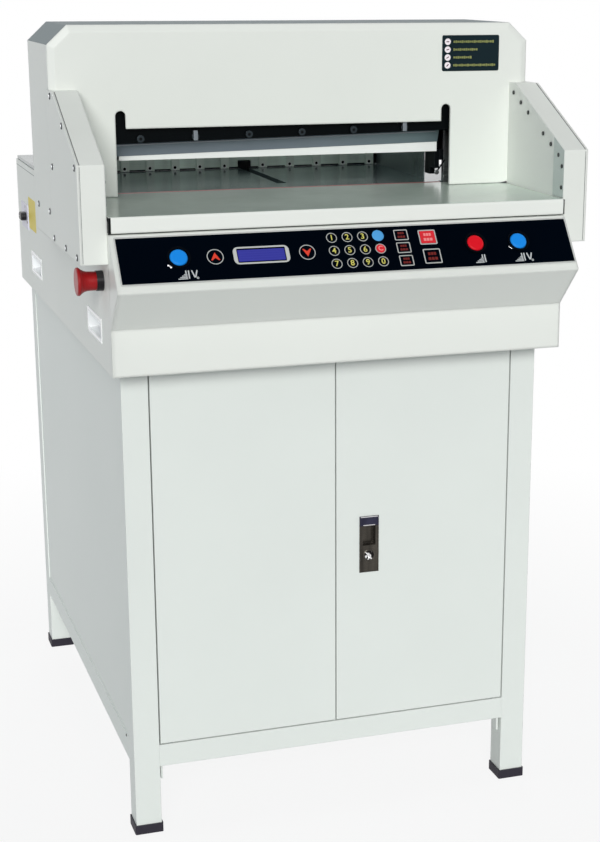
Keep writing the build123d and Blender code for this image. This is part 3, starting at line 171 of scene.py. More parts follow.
def add_lamp(name, kind, place, strength, size, colour):
    """A soft lamp at a place in metres that faces the middle of the machine."""
    data = bpy.data.lights.new(name, kind)
    data.energy = strength
    data.color = colour
    if kind == "AREA":
        data.shape = "SQUARE"
        data.size = size
    else:
        data.angle = math.radians(size)
    shown = bpy.data.objects.new(name, data)
    scene.collection.objects.link(shown)
    aim = (Vector((0, 0, 0.65)) - Vector(place)).to_track_quat("-Z", "Y")
    shown.matrix_world = Matrix.Translation(place) @ aim.to_matrix().to_4x4()


KEY_STRENGTH = 2.4
LEFT_STRENGTH = 9.0
RIGHT_STRENGTH = 10.0
REAR_STRENGTH = 45.0
ROOM_STRENGTH = 0.17
add_camera()
add_lamp("front_key", "SUN", (-1.05, -3.3, 1.95), KEY_STRENGTH, 28, (1.0, 1.0, 0.985))
add_lamp("left_fill", "AREA", (-3.0, 0.2, 2.3), LEFT_STRENGTH, 1.6, (0.80, 0.90, 1.0))
add_lamp("right_fill", "AREA", (3.2, -0.6, 1.8), RIGHT_STRENGTH, 1.8, (1.0, 1.0, 1.0))
add_lamp("rear_fill", "AREA", (0.5, 3.2, 3.2), REAR_STRENGTH, 2.0, (1.0, 1.0, 1.0))


def maths(tree, operation, first, second):
    """A maths node on two sockets or numbers."""
    node = tree.nodes.new("ShaderNodeMath")
    node.operation = operation
    for place, value in enumerate((first, second)):
        if isinstance(value, (int, float)):
            node.inputs[place].default_value = value
        else:
            tree.links.new(value, node.inputs[place])
    return node.outputs[0]


def seen_directly(tree):
    """Where a ray comes from the camera, a mirror or glass."""
    path = tree.nodes.new("ShaderNodeLightPath")
    first = maths(tree, "MAXIMUM", path.outputs["Is Camera Ray"], path.outputs["Is Glossy Ray"])
    return maths(tree, "MAXIMUM", first, path.outputs["Is Transmission Ray"])


def make_studio():
    """A room that lights the machine softly and is white where it is seen."""
    world = bpy.data.worlds.new("studio")
    scene.world = world
    world.use_nodes = True
    tree = world.node_tree
    tree.nodes.clear()
    room = tree.nodes.new("ShaderNodeBackground")
    room.inputs["Color"].default_value = (0.88, 0.95, 1.0, 1.0)
    room.inputs["Strength"].default_value = ROOM_STRENGTH
    wall = tree.nodes.new("ShaderNodeBackground")
    wall.inputs["Color"].default_value = (1.0, 1.0, 1.0, 1.0)
    wall.inputs["Strength"].default_value = 1.0
    mix = tree.nodes.new("ShaderNodeMixShader")
    out = tree.nodes.new("ShaderNodeOutputWorld")
    tree.links.new(seen_directly(tree), mix.inputs[0])
    tree.links.new(room.outputs[0], mix.inputs[1])
    tree.links.new(wall.outputs[0], mix.inputs[2])
    tree.links.new(mix.outputs[0], out.inputs["Surface"])


scene.view_settings.view_transform = "Standard"
make_studio()


# Shared effects, each a node group

def new_group(name, inputs, outputs):
    """An empty shader node group with named number and colour sockets."""
    made = bpy.data.node_groups.new(name, "ShaderNodeTree")
    for label, kind, value in inputs:
        socket = made.interface.new_socket(label, in_out="INPUT", socket_type="NodeSocket" + kind)
        socket.default_value = value
    for label, kind in outputs:
        made.interface.new_socket(label, in_out="OUTPUT", socket_type="NodeSocket" + kind)
    return made, made.nodes.new("NodeGroupInput"), made.nodes.new("NodeGroupOutput")


def blended(tree, factor, first, second, how="MIX"):
    """A colour mix of two sockets or colours."""
    node = tree.nodes.new("ShaderNodeMix")
    node.data_type = "RGBA"
    node.blend_type = how
    for label, value in (("Factor", factor), ("A", first), ("B", second)):
        socket = [s for s in node.inputs if s.name == label and s.enabled][0]
        if isinstance(value, (int, float, tuple)):
            socket.default_value = value
        else:
            tree.links.new(value, socket)
    return [s for s in node.outputs if s.enabled][0]


def noise(tree, scale, detail, stretch=None):
    """Noise in the machine's own metres, stretched along its axes if asked."""
    place = tree.nodes.new("ShaderNodeTexCoord").outputs["Object"]
    if stretch:
        mapping = tree.nodes.new("ShaderNodeMapping")
        mapping.inputs["Scale"].default_value = stretch
        tree.links.new(place, mapping.inputs["Vector"])
        place = mapping.outputs["Vector"]
    node = tree.nodes.new("ShaderNodeTexNoise")
    node.inputs["Detail"].default_value = detail
    tree.links.new(place, node.inputs["Vector"])
    if isinstance(scale, (int, float)):
        node.inputs["Scale"].default_value = scale
    else:
        tree.links.new(scale, node.inputs["Scale"])
    return node.outputs["Fac"]


def shaded(tree, colour, level):
    """A colour made darker or lighter by a level about 1."""
    grey = tree.nodes.new("ShaderNodeCombineColor")
    for socket in grey.inputs[:3]:
        tree.links.new(level, socket)
    return blended(tree, 1.0, colour, grey.outputs[0], "MULTIPLY")


def make_coat_grain():
    """The orange-peel grain and faint mottling of a sprayed or moulded skin."""
    made, given, out = new_group(
        "coat_grain",
        [("Colour", "Color", (0.8, 0.8, 0.8, 1)), ("Mottle", "Float", 0.05),
         ("Grains per metre", "Float", 700.0), ("Roughness", "Float", 0.4)],
        [("Colour", "Color"), ("Roughness", "Float"), ("Height", "Float")],
    )
    patches = maths(made, "SUBTRACT", noise(made, 6.0, 3.0), 0.5)
    grain = noise(made, given.outputs["Grains per metre"], 2.0)
    level = maths(made, "ADD", maths(made, "MULTIPLY", patches, given.outputs["Mottle"]), 1.0)
    rough = maths(made, "ADD", given.outputs["Roughness"], maths(made, "MULTIPLY", patches, 0.16))
    made.links.new(shaded(made, given.outputs["Colour"], level), out.inputs["Colour"])
    made.links.new(rough, out.inputs["Roughness"])
    made.links.new(grain, out.inputs["Height"])
    return made


def make_soft_edge():
    """Rounded edges for the light to catch, and a mask of where they are, which the finishes use to paint
    highlights on the edges.
    """
    made, given, out = new_group(
        "soft_edge",
        [("Radius", "Float", 0.001)],
        [("Normal", "Vector"), ("Edge", "Float")],
    )
    rounded_over = made.nodes.new("ShaderNodeBevel")
    rounded_over.samples = 6
    made.links.new(given.outputs["Radius"], rounded_over.inputs["Radius"])
    flat = made.nodes.new("ShaderNodeNewGeometry")
    facing = made.nodes.new("ShaderNodeVectorMath")
    facing.operation = "DOT_PRODUCT"
    made.links.new(rounded_over.outputs["Normal"], facing.inputs[0])
    made.links.new(flat.outputs["Normal"], facing.inputs[1])
    turn = maths(made, "SUBTRACT", 1.0, facing.outputs["Value"])
    edge = maths(made, "MINIMUM", maths(made, "MULTIPLY", turn, 5.0), 1.0)
    made.links.new(rounded_over.outputs["Normal"], out.inputs["Normal"])
    made.links.new(edge, out.inputs["Edge"])
    return made


def make_brushed_grain():
    """Fine lines left by grinding, all one way, over a cloudy ground."""
    made, given, out = new_group(
        "brushed_grain",
        [("Colour", "Color", (0.7, 0.7, 0.7, 1)), ("Roughness", "Float", 0.3), ("Depth", "Float", 0.15)],
        [("Colour", "Color"), ("Roughness", "Float"), ("Height", "Float")],
    )
    lines = noise(made, 90.0, 4.0, (0.6, 14.0, 14.0))
    cloud = maths(made, "SUBTRACT", noise(made, 9.0, 3.0), 0.5)
    change = maths(made, "MULTIPLY", maths(made, "SUBTRACT", lines, 0.5), given.outputs["Depth"])
    level = maths(made, "ADD", maths(made, "MULTIPLY", change, 1.5), 1.0)
    uneven = maths(made, "MULTIPLY", cloud, 0.2)
    rough = maths(made, "ADD", maths(made, "ADD", given.outputs["Roughness"], change), uneven)
    made.links.new(shaded(made, given.outputs["Colour"], level), out.inputs["Colour"])
    made.links.new(rough, out.inputs["Roughness"])
    made.links.new(lines, out.inputs["Height"])
    return made


def face_parts(tree):
    """The x, y and z of the way that a face looks."""
    split = tree.nodes.new("ShaderNodeSeparateXYZ")
    tree.links.new(tree.nodes.new("ShaderNodeNewGeometry").outputs["Normal"], split.inputs[0])
    return split.outputs


def held(tree, value, highest):
    """A socket's number held between 0 and a highest value."""
    return maths(tree, "MINIMUM", maths(tree, "MAXIMUM", value, 0.0), highest)


def make_settled_dust():
    """A mask of the thin dust that settles on faces that look up."""
    made, given, out = new_group("settled_dust", [("Amount", "Float", 0.2)], [("Dust", "Float")])
    up = maths(made, "MAXIMUM", face_parts(made)["Z"], 0.0)
    drift = noise(made, 40.0, 5.0)
    dust = maths(made, "MULTIPLY", maths(made, "MULTIPLY", up, drift), given.outputs["Amount"])
    made.links.new(dust, out.inputs["Dust"])
    return made


coat_grain = make_coat_grain()
soft_edge = make_soft_edge()
brushed_grain = make_brushed_grain()
settled_dust = make_settled_dust()


# Makers of finishes

def place_group(tree, made, **values):
    """Puts a shared effect in a material with the material's own values."""
    node = tree.nodes.new("ShaderNodeGroup")
    node.node_tree = made
    for label, value in values.items():
        node.inputs[label.replace("_", " ")].default_value = value
    return node


def new_material(name):
    """A material with only its shader and output."""
    made = bpy.data.materials.new(name)
    made.use_nodes = True
    tree = made.node_tree
    tree.nodes.clear()
    shader = tree.nodes.new("ShaderNodeBsdfPrincipled")
    out = tree.nodes.new("ShaderNodeOutputMaterial")
    tree.links.new(shader.outputs["BSDF"], out.inputs["Surface"])
    return made, tree, shader


def set_relief(tree, shader, height, normal, depth):
    """Feeds the grain's height over the rounded edges into the shader."""
    bump = tree.nodes.new("ShaderNodeBump")
    bump.inputs["Strength"].default_value = 1.0
    bump.inputs["Distance"].default_value = depth
    tree.links.new(height, bump.inputs["Height"])
    tree.links.new(normal, bump.inputs["Normal"])
    tree.links.new(bump.outputs["Normal"], shader.inputs["Normal"])


def place_parts(tree):
    """The x, y and z of a point on the machine, in metres."""
    split = tree.nodes.new("ShaderNodeSeparateXYZ")
    tree.links.new(tree.nodes.new("ShaderNodeTexCoord").outputs["Object"], split.inputs[0])
    return split.outputs


def coated(name, colour, roughness=0.42, mottle=0.05, grains=700.0, depth=0.00002, edge_colour=None,
           edge_radius=0.0010, dust=0.1, coat=0.0, shine=0.5, inside=None, lid=None):
    """A sprayed, moulded or cast skin with painted highlights on its edges, and if asked, painted shade:
    near-black inside a box and dull grey on the upward faces of a lid.
    """
    made, tree, shader = new_material(name)
    grain = place_group(tree, coat_grain, Colour=colour, Mottle=mottle, Grains_per_metre=grains,
                        Roughness=roughness)
    edge = place_group(tree, soft_edge, Radius=edge_radius)
    dusty = place_group(tree, settled_dust, Amount=dust)
    # Painted highlight: the edges turn lighter, towards the edge colour, where the bevel mask finds them
    edge_highlight = edge_colour or tuple(min(1.0, part * 1.25 + 0.005) for part in colour[:3]) + (1.0,)
    base = blended(tree, maths(tree, "MULTIPLY", edge.outputs["Edge"], 0.7), grain.outputs["Colour"], edge_highlight)
    base = blended(tree, dusty.outputs["Dust"], base, tone(196, 197, 192))
    # Painted shade: near-black inside the box, where the covers' white insides lie in shade
    if inside:
        base = blended(tree, box_mask(tree, *inside), base, tone(8, 12, 14))
    rough = grain.outputs["Roughness"]
    # Painted shade: upward faces on the lid turn dull grey, as the gantry's top gets little light
    if lid:
        way = face_parts(tree)
        upward = maths(tree, "SUBTRACT", way["Z"], maths(tree, "ABSOLUTE", way["Y"], 0.0))
        shaded_top_mask = maths(tree, "MULTIPLY", box_mask(tree, *lid), maths(tree, "GREATER_THAN", upward, 0.3))
        base = blended(tree, shaded_top_mask, base, tone(143, 151, 153))
        rough = maths(tree, "ADD", rough, maths(tree, "MULTIPLY", shaded_top_mask, 0.5))
    tree.links.new(base, shader.inputs["Base Color"])
    tree.links.new(rough, shader.inputs["Roughness"])
    shader.inputs["Specular IOR Level"].default_value = shine
    shader.inputs["Coat Weight"].default_value = coat
    shader.inputs["Coat Roughness"].default_value = 0.08
    set_relief(tree, shader, grain.outputs["Height"], edge.outputs["Normal"], depth)
    return made


def box_mask(tree, low, high):
    """1 between two places on the machine, such as inside the gantry's covers."""
    mask = 1.0
    for value, lowest, highest in zip(place_parts(tree), low, high):
        mask = maths(tree, "MULTIPLY", mask, maths(tree, "GREATER_THAN", value, lowest))
        mask = maths(tree, "MULTIPLY", mask, maths(tree, "LESS_THAN", value, highest))
    return mask


def finish_metal(tree, shader, base, grain, edge, metallic, depth):
    """Gives a shader its colour, the grain's roughness and relief, and how metallic it is."""
    tree.links.new(base, shader.inputs["Base Color"])
    tree.links.new(grain.outputs["Roughness"], shader.inputs["Roughness"])
    shader.inputs["Metallic"].default_value = metallic
    set_relief(tree, shader, grain.outputs["Height"], edge.outputs["Normal"], depth)


def ground(name, colour, roughness=0.3, lines=0.15, metallic=1.0, edge_share=0.8):
    """A ground, machined or plated metal with its lines, and painted highlights on its edges."""
    made, tree, shader = new_material(name)
    grain = place_group(tree, brushed_grain, Colour=colour, Roughness=roughness, Depth=lines)
    edge = place_group(tree, soft_edge, Radius=0.0006)
    # Painted highlight: the edges turn lighter and brighter than the metal
    bright = tuple(min(1.0, part * 1.4 + 0.03) for part in colour[:3]) + (1.0,)
    share = maths(tree, "MULTIPLY", edge.outputs["Edge"], edge_share)
    base = blended(tree, share, grain.outputs["Colour"], bright)
    finish_metal(tree, shader, base, grain, edge, metallic, 0.00001)
    return made


def printed(name, colour, mottle=0.1):
    """A thin matt print on film."""
    return coated(name, colour, roughness=0.4, mottle=mottle, grains=1500.0, depth=0.000004, dust=0.0,
                  shine=0.08)


def make_table_steel_and_reflection():
    """The front table, grey ground steel above and off-white paint on its edges, with a painted reflection
    that lightens the steel to the right and painted highlights on its rounded edges.
    """
    made, tree, shader = new_material("front_table_steel_paint_and_reflection")
    grain = place_group(tree, brushed_grain, Colour=tone(165, 177, 168), Roughness=0.2, Depth=0.10)
    paint = place_group(tree, coat_grain, Colour=tone(236, 239, 234), Mottle=0.04, Grains_per_metre=700.0,
                        Roughness=0.4)
    edge = place_group(tree, soft_edge, Radius=0.0026)
    top = maths(tree, "GREATER_THAN", face_parts(tree)["Z"], 0.9)
    # Painted reflection: the steel grows lighter to the right, where it reflects the white gantry
    along = maths(tree, "SUBTRACT", place_parts(tree)[0], at(-60, 0, 0).x)
    reflection_rise = held(tree, maths(tree, "MULTIPLY", along, 1.6), 0.6)
    steel = shaded(tree, grain.outputs["Colour"], maths(tree, "ADD", reflection_rise, 1.0))
    base = blended(tree, top, paint.outputs["Colour"], steel)
    # Painted highlight: the rounded edges turn near-white
    base = blended(tree, edge.outputs["Edge"], base, tone(246, 248, 245))
    rough = tree.nodes.new("ShaderNodeMix")
    tree.links.new(top, rough.inputs["Factor"])
    tree.links.new(paint.outputs["Roughness"], rough.inputs["A"])
    tree.links.new(grain.outputs["Roughness"], rough.inputs["B"])
    tree.links.new(base, shader.inputs["Base Color"])
    tree.links.new(rough.outputs["Result"], shader.inputs["Roughness"])
    set_relief(tree, shader, grain.outputs["Height"], edge.outputs["Normal"], 0.000008)
    return made


def make_comb_finish():
    """The gauge's comb, dull with soft bands up it between its ribs, and brighter on them."""
    made, tree, shader = new_material("comb_milled_alloy")
    grain = place_group(tree, brushed_grain, Colour=tone(206, 222, 212), Roughness=0.34, Depth=0.2)
    bands = maths(tree, "SUBTRACT", noise(tree, 26.0, 2.0, (1.0, 0.0, 0.02)), 0.5)
    level = maths(tree, "ADD", maths(tree, "MULTIPLY", bands, 1.3), 1.0)
    edge = place_group(tree, soft_edge, Radius=0.0006)
    ribs = maths(tree, "LESS_THAN", place_parts(tree)[1], at(0, comb_low.y + 1.0, 0).y)
    base = blended(tree, ribs, shaded(tree, grain.outputs["Colour"], level), tone(212, 224, 214))
    finish_metal(tree, shader, base, grain, edge, 0.1, 0.000008)
    return made


def make_blade_finish():
    """The blade, slate grey ground steel that turns greener and darker to the right."""
    made, tree, shader = new_material("blade_ground_steel")
    grain = place_group(tree, brushed_grain, Colour=tone(140, 150, 162), Roughness=0.34, Depth=0.06)
    edge = place_group(tree, soft_edge, Radius=0.0004)
    along = maths(tree, "SUBTRACT", place_parts(tree)[0], at(40, 0, 0).x)
    share = held(tree, maths(tree, "MULTIPLY", along, 4.0), 0.8)
    base = blended(tree, share, grain.outputs["Colour"], tone(104, 128, 130))
    finish_metal(tree, shader, base, grain, edge, 0.4, 0.00001)
    return made


def make_lock_chrome_and_reflection():
    """The lock plate's dark chrome, brown and olive, with a painted bluish reflection at its top, painted
    reflection streaks and painted highlights on its edges.
    """
    made, tree, shader = new_material("lock_dark_chrome_and_reflection")
    grain = place_group(tree, brushed_grain, Colour=tone(72, 68, 62), Roughness=0.26, Depth=0.25)
    edge = place_group(tree, soft_edge, Radius=0.0006)
    # Painted reflection: the chrome turns bluish near its top and gets lighter and darker streaks, and its
    # edges get a painted highlight
    top = maths(tree, "GREATER_THAN", place_parts(tree)[2], at(0, 0, lock_high.z - 14).z)
    streaks = maths(tree, "MULTIPLY", noise(tree, 120.0, 2.0, (1.0, 1.0, 0.12)), 1.7)
    base = blended(tree, top, grain.outputs["Colour"], tone(52, 52, 72))
    base = blended(tree, edge.outputs["Edge"], shaded(tree, base, streaks), tone(96, 92, 90))
    finish_metal(tree, shader, base, grain, edge, 0.8, 0.000006)
    return made


def make_barrel_chrome_and_reflection():
    """Mirror chrome with painted reflections: dark patches stand in for the dark parts of the room round it.
    """
    made, tree, shader = new_material("lock_barrel_chrome_and_reflection")
    grain = place_group(tree, brushed_grain, Colour=tone(228, 228, 228), Roughness=0.16, Depth=0.05)
    edge = place_group(tree, soft_edge, Radius=0.0004)
    # Painted reflection: noise patches turn the chrome near-black
    dark = maths(tree, "GREATER_THAN", noise(tree, 150.0, 1.0), 0.5)
    base = blended(tree, dark, grain.outputs["Colour"], tone(34, 32, 32))
    finish_metal(tree, shader, base, grain, edge, 1.0, 0.000006)
    return made


def make_display_finish():
    """A lit blue window with faint rows of cells."""
    made, tree, shader = new_material("display_blue_glass")
    place = tree.nodes.new("ShaderNodeTexCoord")
    rows = tree.nodes.new("ShaderNodeTexWave")
    rows.wave_type = "BANDS"
    rows.bands_direction = "Z"
    rows.inputs["Scale"].default_value = 120.0
    tree.links.new(place.outputs["Object"], rows.inputs["Vector"])
    grain = place_group(tree, coat_grain, Colour=tone(50, 52, 146), Mottle=0.35, Grains_per_metre=900.0,
                        Roughness=0.12)
    faint = maths(tree, "MULTIPLY", rows.outputs["Fac"], 0.12)
    base = blended(tree, faint, grain.outputs["Colour"], tone(74, 76, 178))
    tree.links.new(base, shader.inputs["Base Color"])
    tree.links.new(base, shader.inputs["Emission Color"])
    shader.inputs["Emission Strength"].default_value = 0.15
    tree.links.new(grain.outputs["Roughness"], shader.inputs["Roughness"])
    shader.inputs["Specular IOR Level"].default_value = 0.1
    return made


# Finishes of the machine
white_paint = tone(229, 232, 227)
# Painted shade: the box inside the gantry's covers that turns near-black
covers_shade_box = (
    at(cover_low.x + 1, 4.6, TABLE_TOP + 38),
    at(cover_high.x - 1, GANTRY_REAR - 1, cover_high.z - 46),
)
# Painted shade: the gantry's top, whose upward faces turn dull grey
gantry_top_shade_box = (
    at(cover_low.x - 1, -1, cover_high.z - 60),
    at(cover_high.x + 1, GANTRY_REAR + 1, cover_high.z + 1),
)
cover_paint = coated("cover_white_paint", white_paint, edge_colour=tone(240, 242, 239), shine=0.35)
arm_paint = coated("arm_white_paint", white_paint, edge_colour=tone(242, 244, 241), shine=0.35,
                   edge_radius=0.003)
console_paint = coated("console_white_paint", white_paint, edge_colour=tone(238, 240, 236), coat=0.1,
                       edge_radius=0.006)
gantry_paint_and_shade = coated("gantry_white_paint_and_shade", white_paint, edge_colour=tone(240, 242, 239),
                      edge_radius=0.004, inside=covers_shade_box, lid=gantry_top_shade_box, shine=0.35)
stand_paint = coated("stand_white_paint", tone(227, 232, 228), edge_colour=tone(240, 242, 240), shine=0.35)
cup_plastic = coated("cup_white_plastic", tone(250, 252, 253), roughness=0.22, grains=1500.0, coat=0.3,
                     edge_colour=tone(250, 250, 250), edge_radius=0.0016)
black_rubber_and_gap_shade = coated("foot_black_rubber_and_gap_shade", tone(40, 37, 47), roughness=0.62, grains=1800.0, depth=0.00006,
                     edge_colour=tone(66, 63, 76), mottle=0.2, shine=0.25)
table_steel_and_reflection = make_table_steel_and_reflection()
rear_table_steel = ground("rear_table_steel", tone(88, 104, 104), roughness=0.16, metallic=0.3)
guide_steel = ground("side_guide_steel", tone(104, 118, 118), roughness=0.3, metallic=0.7)
block_steel = ground("lift_block_steel", tone(118, 124, 130), roughness=0.36, metallic=0.7)
frame_iron = coated("frame_cast_iron", tone(52, 58, 62), roughness=0.5, grains=420.0, depth=0.00008,
                    mottle=0.2, shine=0.2)
blade_finish = make_blade_finish()
carrier_paint = coated("carrier_black_paint", tone(3, 6, 8), mottle=0.3, shine=0.04, dust=0.0,
                       edge_colour=tone(24, 30, 34))
bolt_steel = ground("bolt_dark_steel", tone(46, 52, 56), roughness=0.3)
clamp_alloy = ground("clamp_white_alloy", tone(236, 239, 237), roughness=0.4, lines=0.06, metallic=0.1,
                     edge_share=0.3)
comb_finish = make_comb_finish()
# Black oxide for real black parts, also used for black patches of painted shade
black_oxide_and_shade = coated("guide_black_oxide_and_shade", tone(5, 8, 10), roughness=0.4, mottle=0.3, shine=0.08, dust=0.0,
                     edge_colour=tone(44, 50, 54))
motor_paint = coated("motor_black_paint", tone(34, 36, 40), roughness=0.45, mottle=0.15, shine=0.3)
plain_steel = ground("turned_steel", tone(150, 154, 156), roughness=0.28)
stick_plastic = coated("stick_red_plastic", tone(140, 36, 34), roughness=0.5, grains=500.0, mottle=0.3,
                       edge_colour=tone(150, 70, 66), edge_radius=0.0016, shine=0.15)
lock_chrome_and_reflection = make_lock_chrome_and_reflection()
barrel_chrome_and_reflection = make_barrel_chrome_and_reflection()
bright_chrome_and_glint = ground("bright_chrome_and_glint", tone(205, 204, 206), roughness=0.14, lines=0.05)
panel_black = coated("panel_black_film", tone(2, 7, 16), roughness=0.3, mottle=0.3, grains=1800.0,
                     depth=0.000006, edge_colour=tone(8, 14, 24), dust=0.0, shine=0.0)
display_finish = make_display_finish()
bezel_black = coated("bezel_black_plastic", tone(3, 6, 12), roughness=0.3, mottle=0.2, dust=0.0, shine=0.02,
                     edge_colour=tone(14, 18, 26), edge_radius=0.0006)
button_blue = coated("button_blue_plastic", tone(22, 138, 232), roughness=0.4, mottle=0.06, shine=0.15,
                     edge_colour=tone(30, 130, 214), dust=0.0)
button_red = coated("button_red_plastic", tone(222, 16, 34), roughness=0.4, mottle=0.06, shine=0.15,
                    edge_colour=tone(196, 14, 28), dust=0.0)
stop_red = coated("stop_red_plastic", tone(152, 20, 24), roughness=0.34, mottle=0.12, shine=0.25,
                  edge_colour=tone(170, 40, 40), dust=0.0)
collar_black = coated("collar_black_plastic", tone(20, 18, 22), roughness=0.32, mottle=0.2, shine=0.25)
knob_black = coated("knob_black_plastic", tone(18, 17, 24), roughness=0.34, mottle=0.2, shine=0.25)
lens_glass = coated("lens_dark_glass", tone(20, 26, 28), roughness=0.1, mottle=0.2, dust=0.0, shine=0.3)
board_green = coated("board_green_resin", tone(24, 84, 52), roughness=0.4, mottle=0.3, grains=260.0)
switch_white = coated("switch_pale_plate", tone(214, 213, 226), roughness=0.35, mottle=0.05)
screw_dark = coated("case_screw_shadow", tone(70, 72, 76), roughness=0.5, mottle=0.2, shine=0.2, dust=0.0)
screw_zinc = ground("case_screw_zinc", tone(226, 228, 230), roughness=0.3)
# Painted shade for the strips on the arms' inner faces
arm_strip_shade = coated("arm_strip_shade_paint", tone(196, 206, 202), roughness=0.4, edge_colour=tone(180, 190, 186))
bend_shade_grey = coated("bend_shadow", tone(150, 156, 154), roughness=0.5)
silver_print = printed("silver_print", tone(196, 198, 196))
yellow_print = printed("yellow_print", tone(216, 210, 110))
arrow_print = printed("arrow_red_print", tone(226, 70, 52))
dull_red_print = printed("dull_red_print", tone(124, 44, 40), mottle=0.2)
pink_print = printed("pink_print", tone(246, 150, 150))
icon_print = printed("icon_pale_print", tone(206, 210, 212))
key_blue = printed("key_light_blue", tone(84, 164, 226))
key_red = printed("key_red", tone(222, 48, 58))
plate_black = printed("plate_black_film", tone(16, 32, 38), mottle=0.9)
plate_mark = printed("plate_yellow_print", tone(138, 142, 88), mottle=0.9)
plate_disc = printed("plate_pale_print", tone(248, 238, 244))
disc_line = printed("plate_disc_line", tone(84, 48, 62))
sticker_yellow = printed("sticker_yellow", tone(228, 208, 96), mottle=0.15)

FINISHES = {
    cover_paint: ["housing_left", "housing_right", "housing_back"],
    console_paint: ["console_shell"],
    arm_paint: ["left_arm", "right_arm", "arm_covers"],
    gantry_paint_and_shade: ["gantry_front_cover", "gantry_rear_cover"],
    stand_paint: ["stand_legs", "bottom_rails", "stand_top_plate", "cabinet_panels", "cabinet_floor",
                  "left_door", "right_door"],
    cup_plastic: ["carry_cups"],
    black_rubber_and_gap_shade: ["rubber_feet"],
    table_steel_and_reflection: ["front_table"],
    rear_table_steel: ["rear_table"],
    guide_steel: ["side_guides"],
    frame_iron: ["side_frames", "bed_beam", "rear_tie", "gantry_beam"],
    blade_finish: ["knife_blade"],
    carrier_paint: ["knife_carrier"],
    bolt_steel: ["knife_bolts"],
    clamp_alloy: ["clamp_beam"],
    comb_finish: ["back_gauge"],
    black_oxide_and_shade: ["clamp_guides", "gauge_bracket"],
    motor_paint: ["knife_gearmotor", "clamp_gearmotor", "gauge_motor"],
    plain_steel: ["hinge_pins", "knife_pivot_pin", "pull_rod", "knife_lever", "clamp_guide_rods",
                  "clamp_screw", "gauge_screw", "gauge_rods"],
    stick_plastic: ["cutting_stick"],
    lock_chrome_and_reflection: ["lock_plate"],
    barrel_chrome_and_reflection: ["lock_cylinder"],
    panel_black: ["control_panel"],
    display_finish: ["display_window"],
    bezel_black: ["button_bezels"],
    button_blue: ["cut_button_left", "cut_button_right"],
    button_red: ["clamp_button"],
    stop_red: ["estop_button"],
    collar_black: ["estop_collar"],
    knob_black: ["estop_stem", "power_knob"],
    lens_glass: ["sensor_windows"],
    board_green: ["control_board"],
    switch_white: ["switch_plate"],
    screw_zinc: ["case_screws"],
}
for finish, names in FINISHES.items():
    for name in names:
        nodes[name].data.materials.clear()
        nodes[name].data.materials.append(finish)


# Making pieces

def keep(name, shape, material, body, rounding=0.0):
    """Turns a bmesh into a named piece with its finish and body."""
    mesh = bpy.data.meshes.new(name)
    bmesh.ops.recalc_face_normals(shape, faces=shape.faces)
    shape.to_mesh(mesh)
    shape.free()
    shown = bpy.data.objects.new(name, mesh)
    scene.collection.objects.link(shown)
    mesh.materials.append(material)
    if rounding:
        edges = shown.modifiers.new("rounding", "BEVEL")
        edges.width = rounding * MM
        edges.segments = 2
        edges.limit_method = "ANGLE"
        edges.angle_limit = math.radians(40)
    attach(shown, body)
    return shown


def new_forms(count):
    """Empty forms, one for each piece that a function makes."""
    return [bmesh.new() for _ in range(count)]


def prism(shape, outline, place, low, high, hole=None):
    """A flat form with its thickness, set by a matrix; a hole has as many points as the outline."""
    def ring(points, height):
        return [shape.verts.new(place @ Vector((x * MM, y * MM, height * MM))) for x, y in points]

    bottom, top = ring(outline, low), ring(outline, high)
    if hole:
        inner_bottom, inner_top = ring(hole, low), ring(hole, high)
    else:
        shape.faces.new(bottom)
        shape.faces.new(top)
    for index in range(len(outline)):
        after = (index + 1) % len(outline)
        shape.faces.new((bottom[index], bottom[after], top[after], top[index]))
        if hole:
            shape.faces.new((inner_bottom[index], inner_bottom[after], inner_top[after], inner_top[index]))
            shape.faces.new((top[index], top[after], inner_top[after], inner_top[index]))
            shape.faces.new((bottom[index], bottom[after], inner_bottom[after], inner_bottom[index]))


def circle(x, y, radius, count=28):
    """The points of a circle."""
    turns = [2 * math.pi * index / count for index in range(count)]
    return [(x + radius * math.cos(turn), y + radius * math.sin(turn)) for turn in turns]


def rounded(x, y, width, height, corner, steps=4):
    """The points of a rectangle with rounded corners, about its middle."""
    points = []
    for quarter, (side, rise) in enumerate(((1, 1), (-1, 1), (-1, -1), (1, -1))):
        for step in range(steps + 1):
            turn = math.pi / 2 * (quarter + step / steps)
            points.append((
                x + side * (width / 2 - corner) + corner * math.cos(turn),
                y + rise * (height / 2 - corner) + corner * math.sin(turn),
            ))
    return points


def turned(shape, profile, place, count=32):
    """A turned form from (radius, height) pairs about the matrix's z axis."""
    rings = []
    for radius, height in profile:
        points = circle(0, 0, radius, count) if radius else [(0, 0)]
        rings.append([shape.verts.new(place @ Vector((x * MM, y * MM, height * MM))) for x, y in points])
    for lower, upper in zip(rings, rings[1:]):
        for index in range(count):
            after = (index + 1) % count
            if len(lower) == 1:
                shape.faces.new((lower[0], upper[after], upper[index]))
            elif len(upper) == 1:
                shape.faces.new((lower[index], lower[after], upper[0]))
            else:
                shape.faces.new((lower[index], lower[after], upper[after], upper[index]))


def moved(place, x, y, turn=0.0):
    """A face's matrix moved over the face and turned in it."""
    return place @ Matrix.Translation((x * MM, y * MM, 0)) @ Matrix.Rotation(math.radians(turn), 4, "Z")


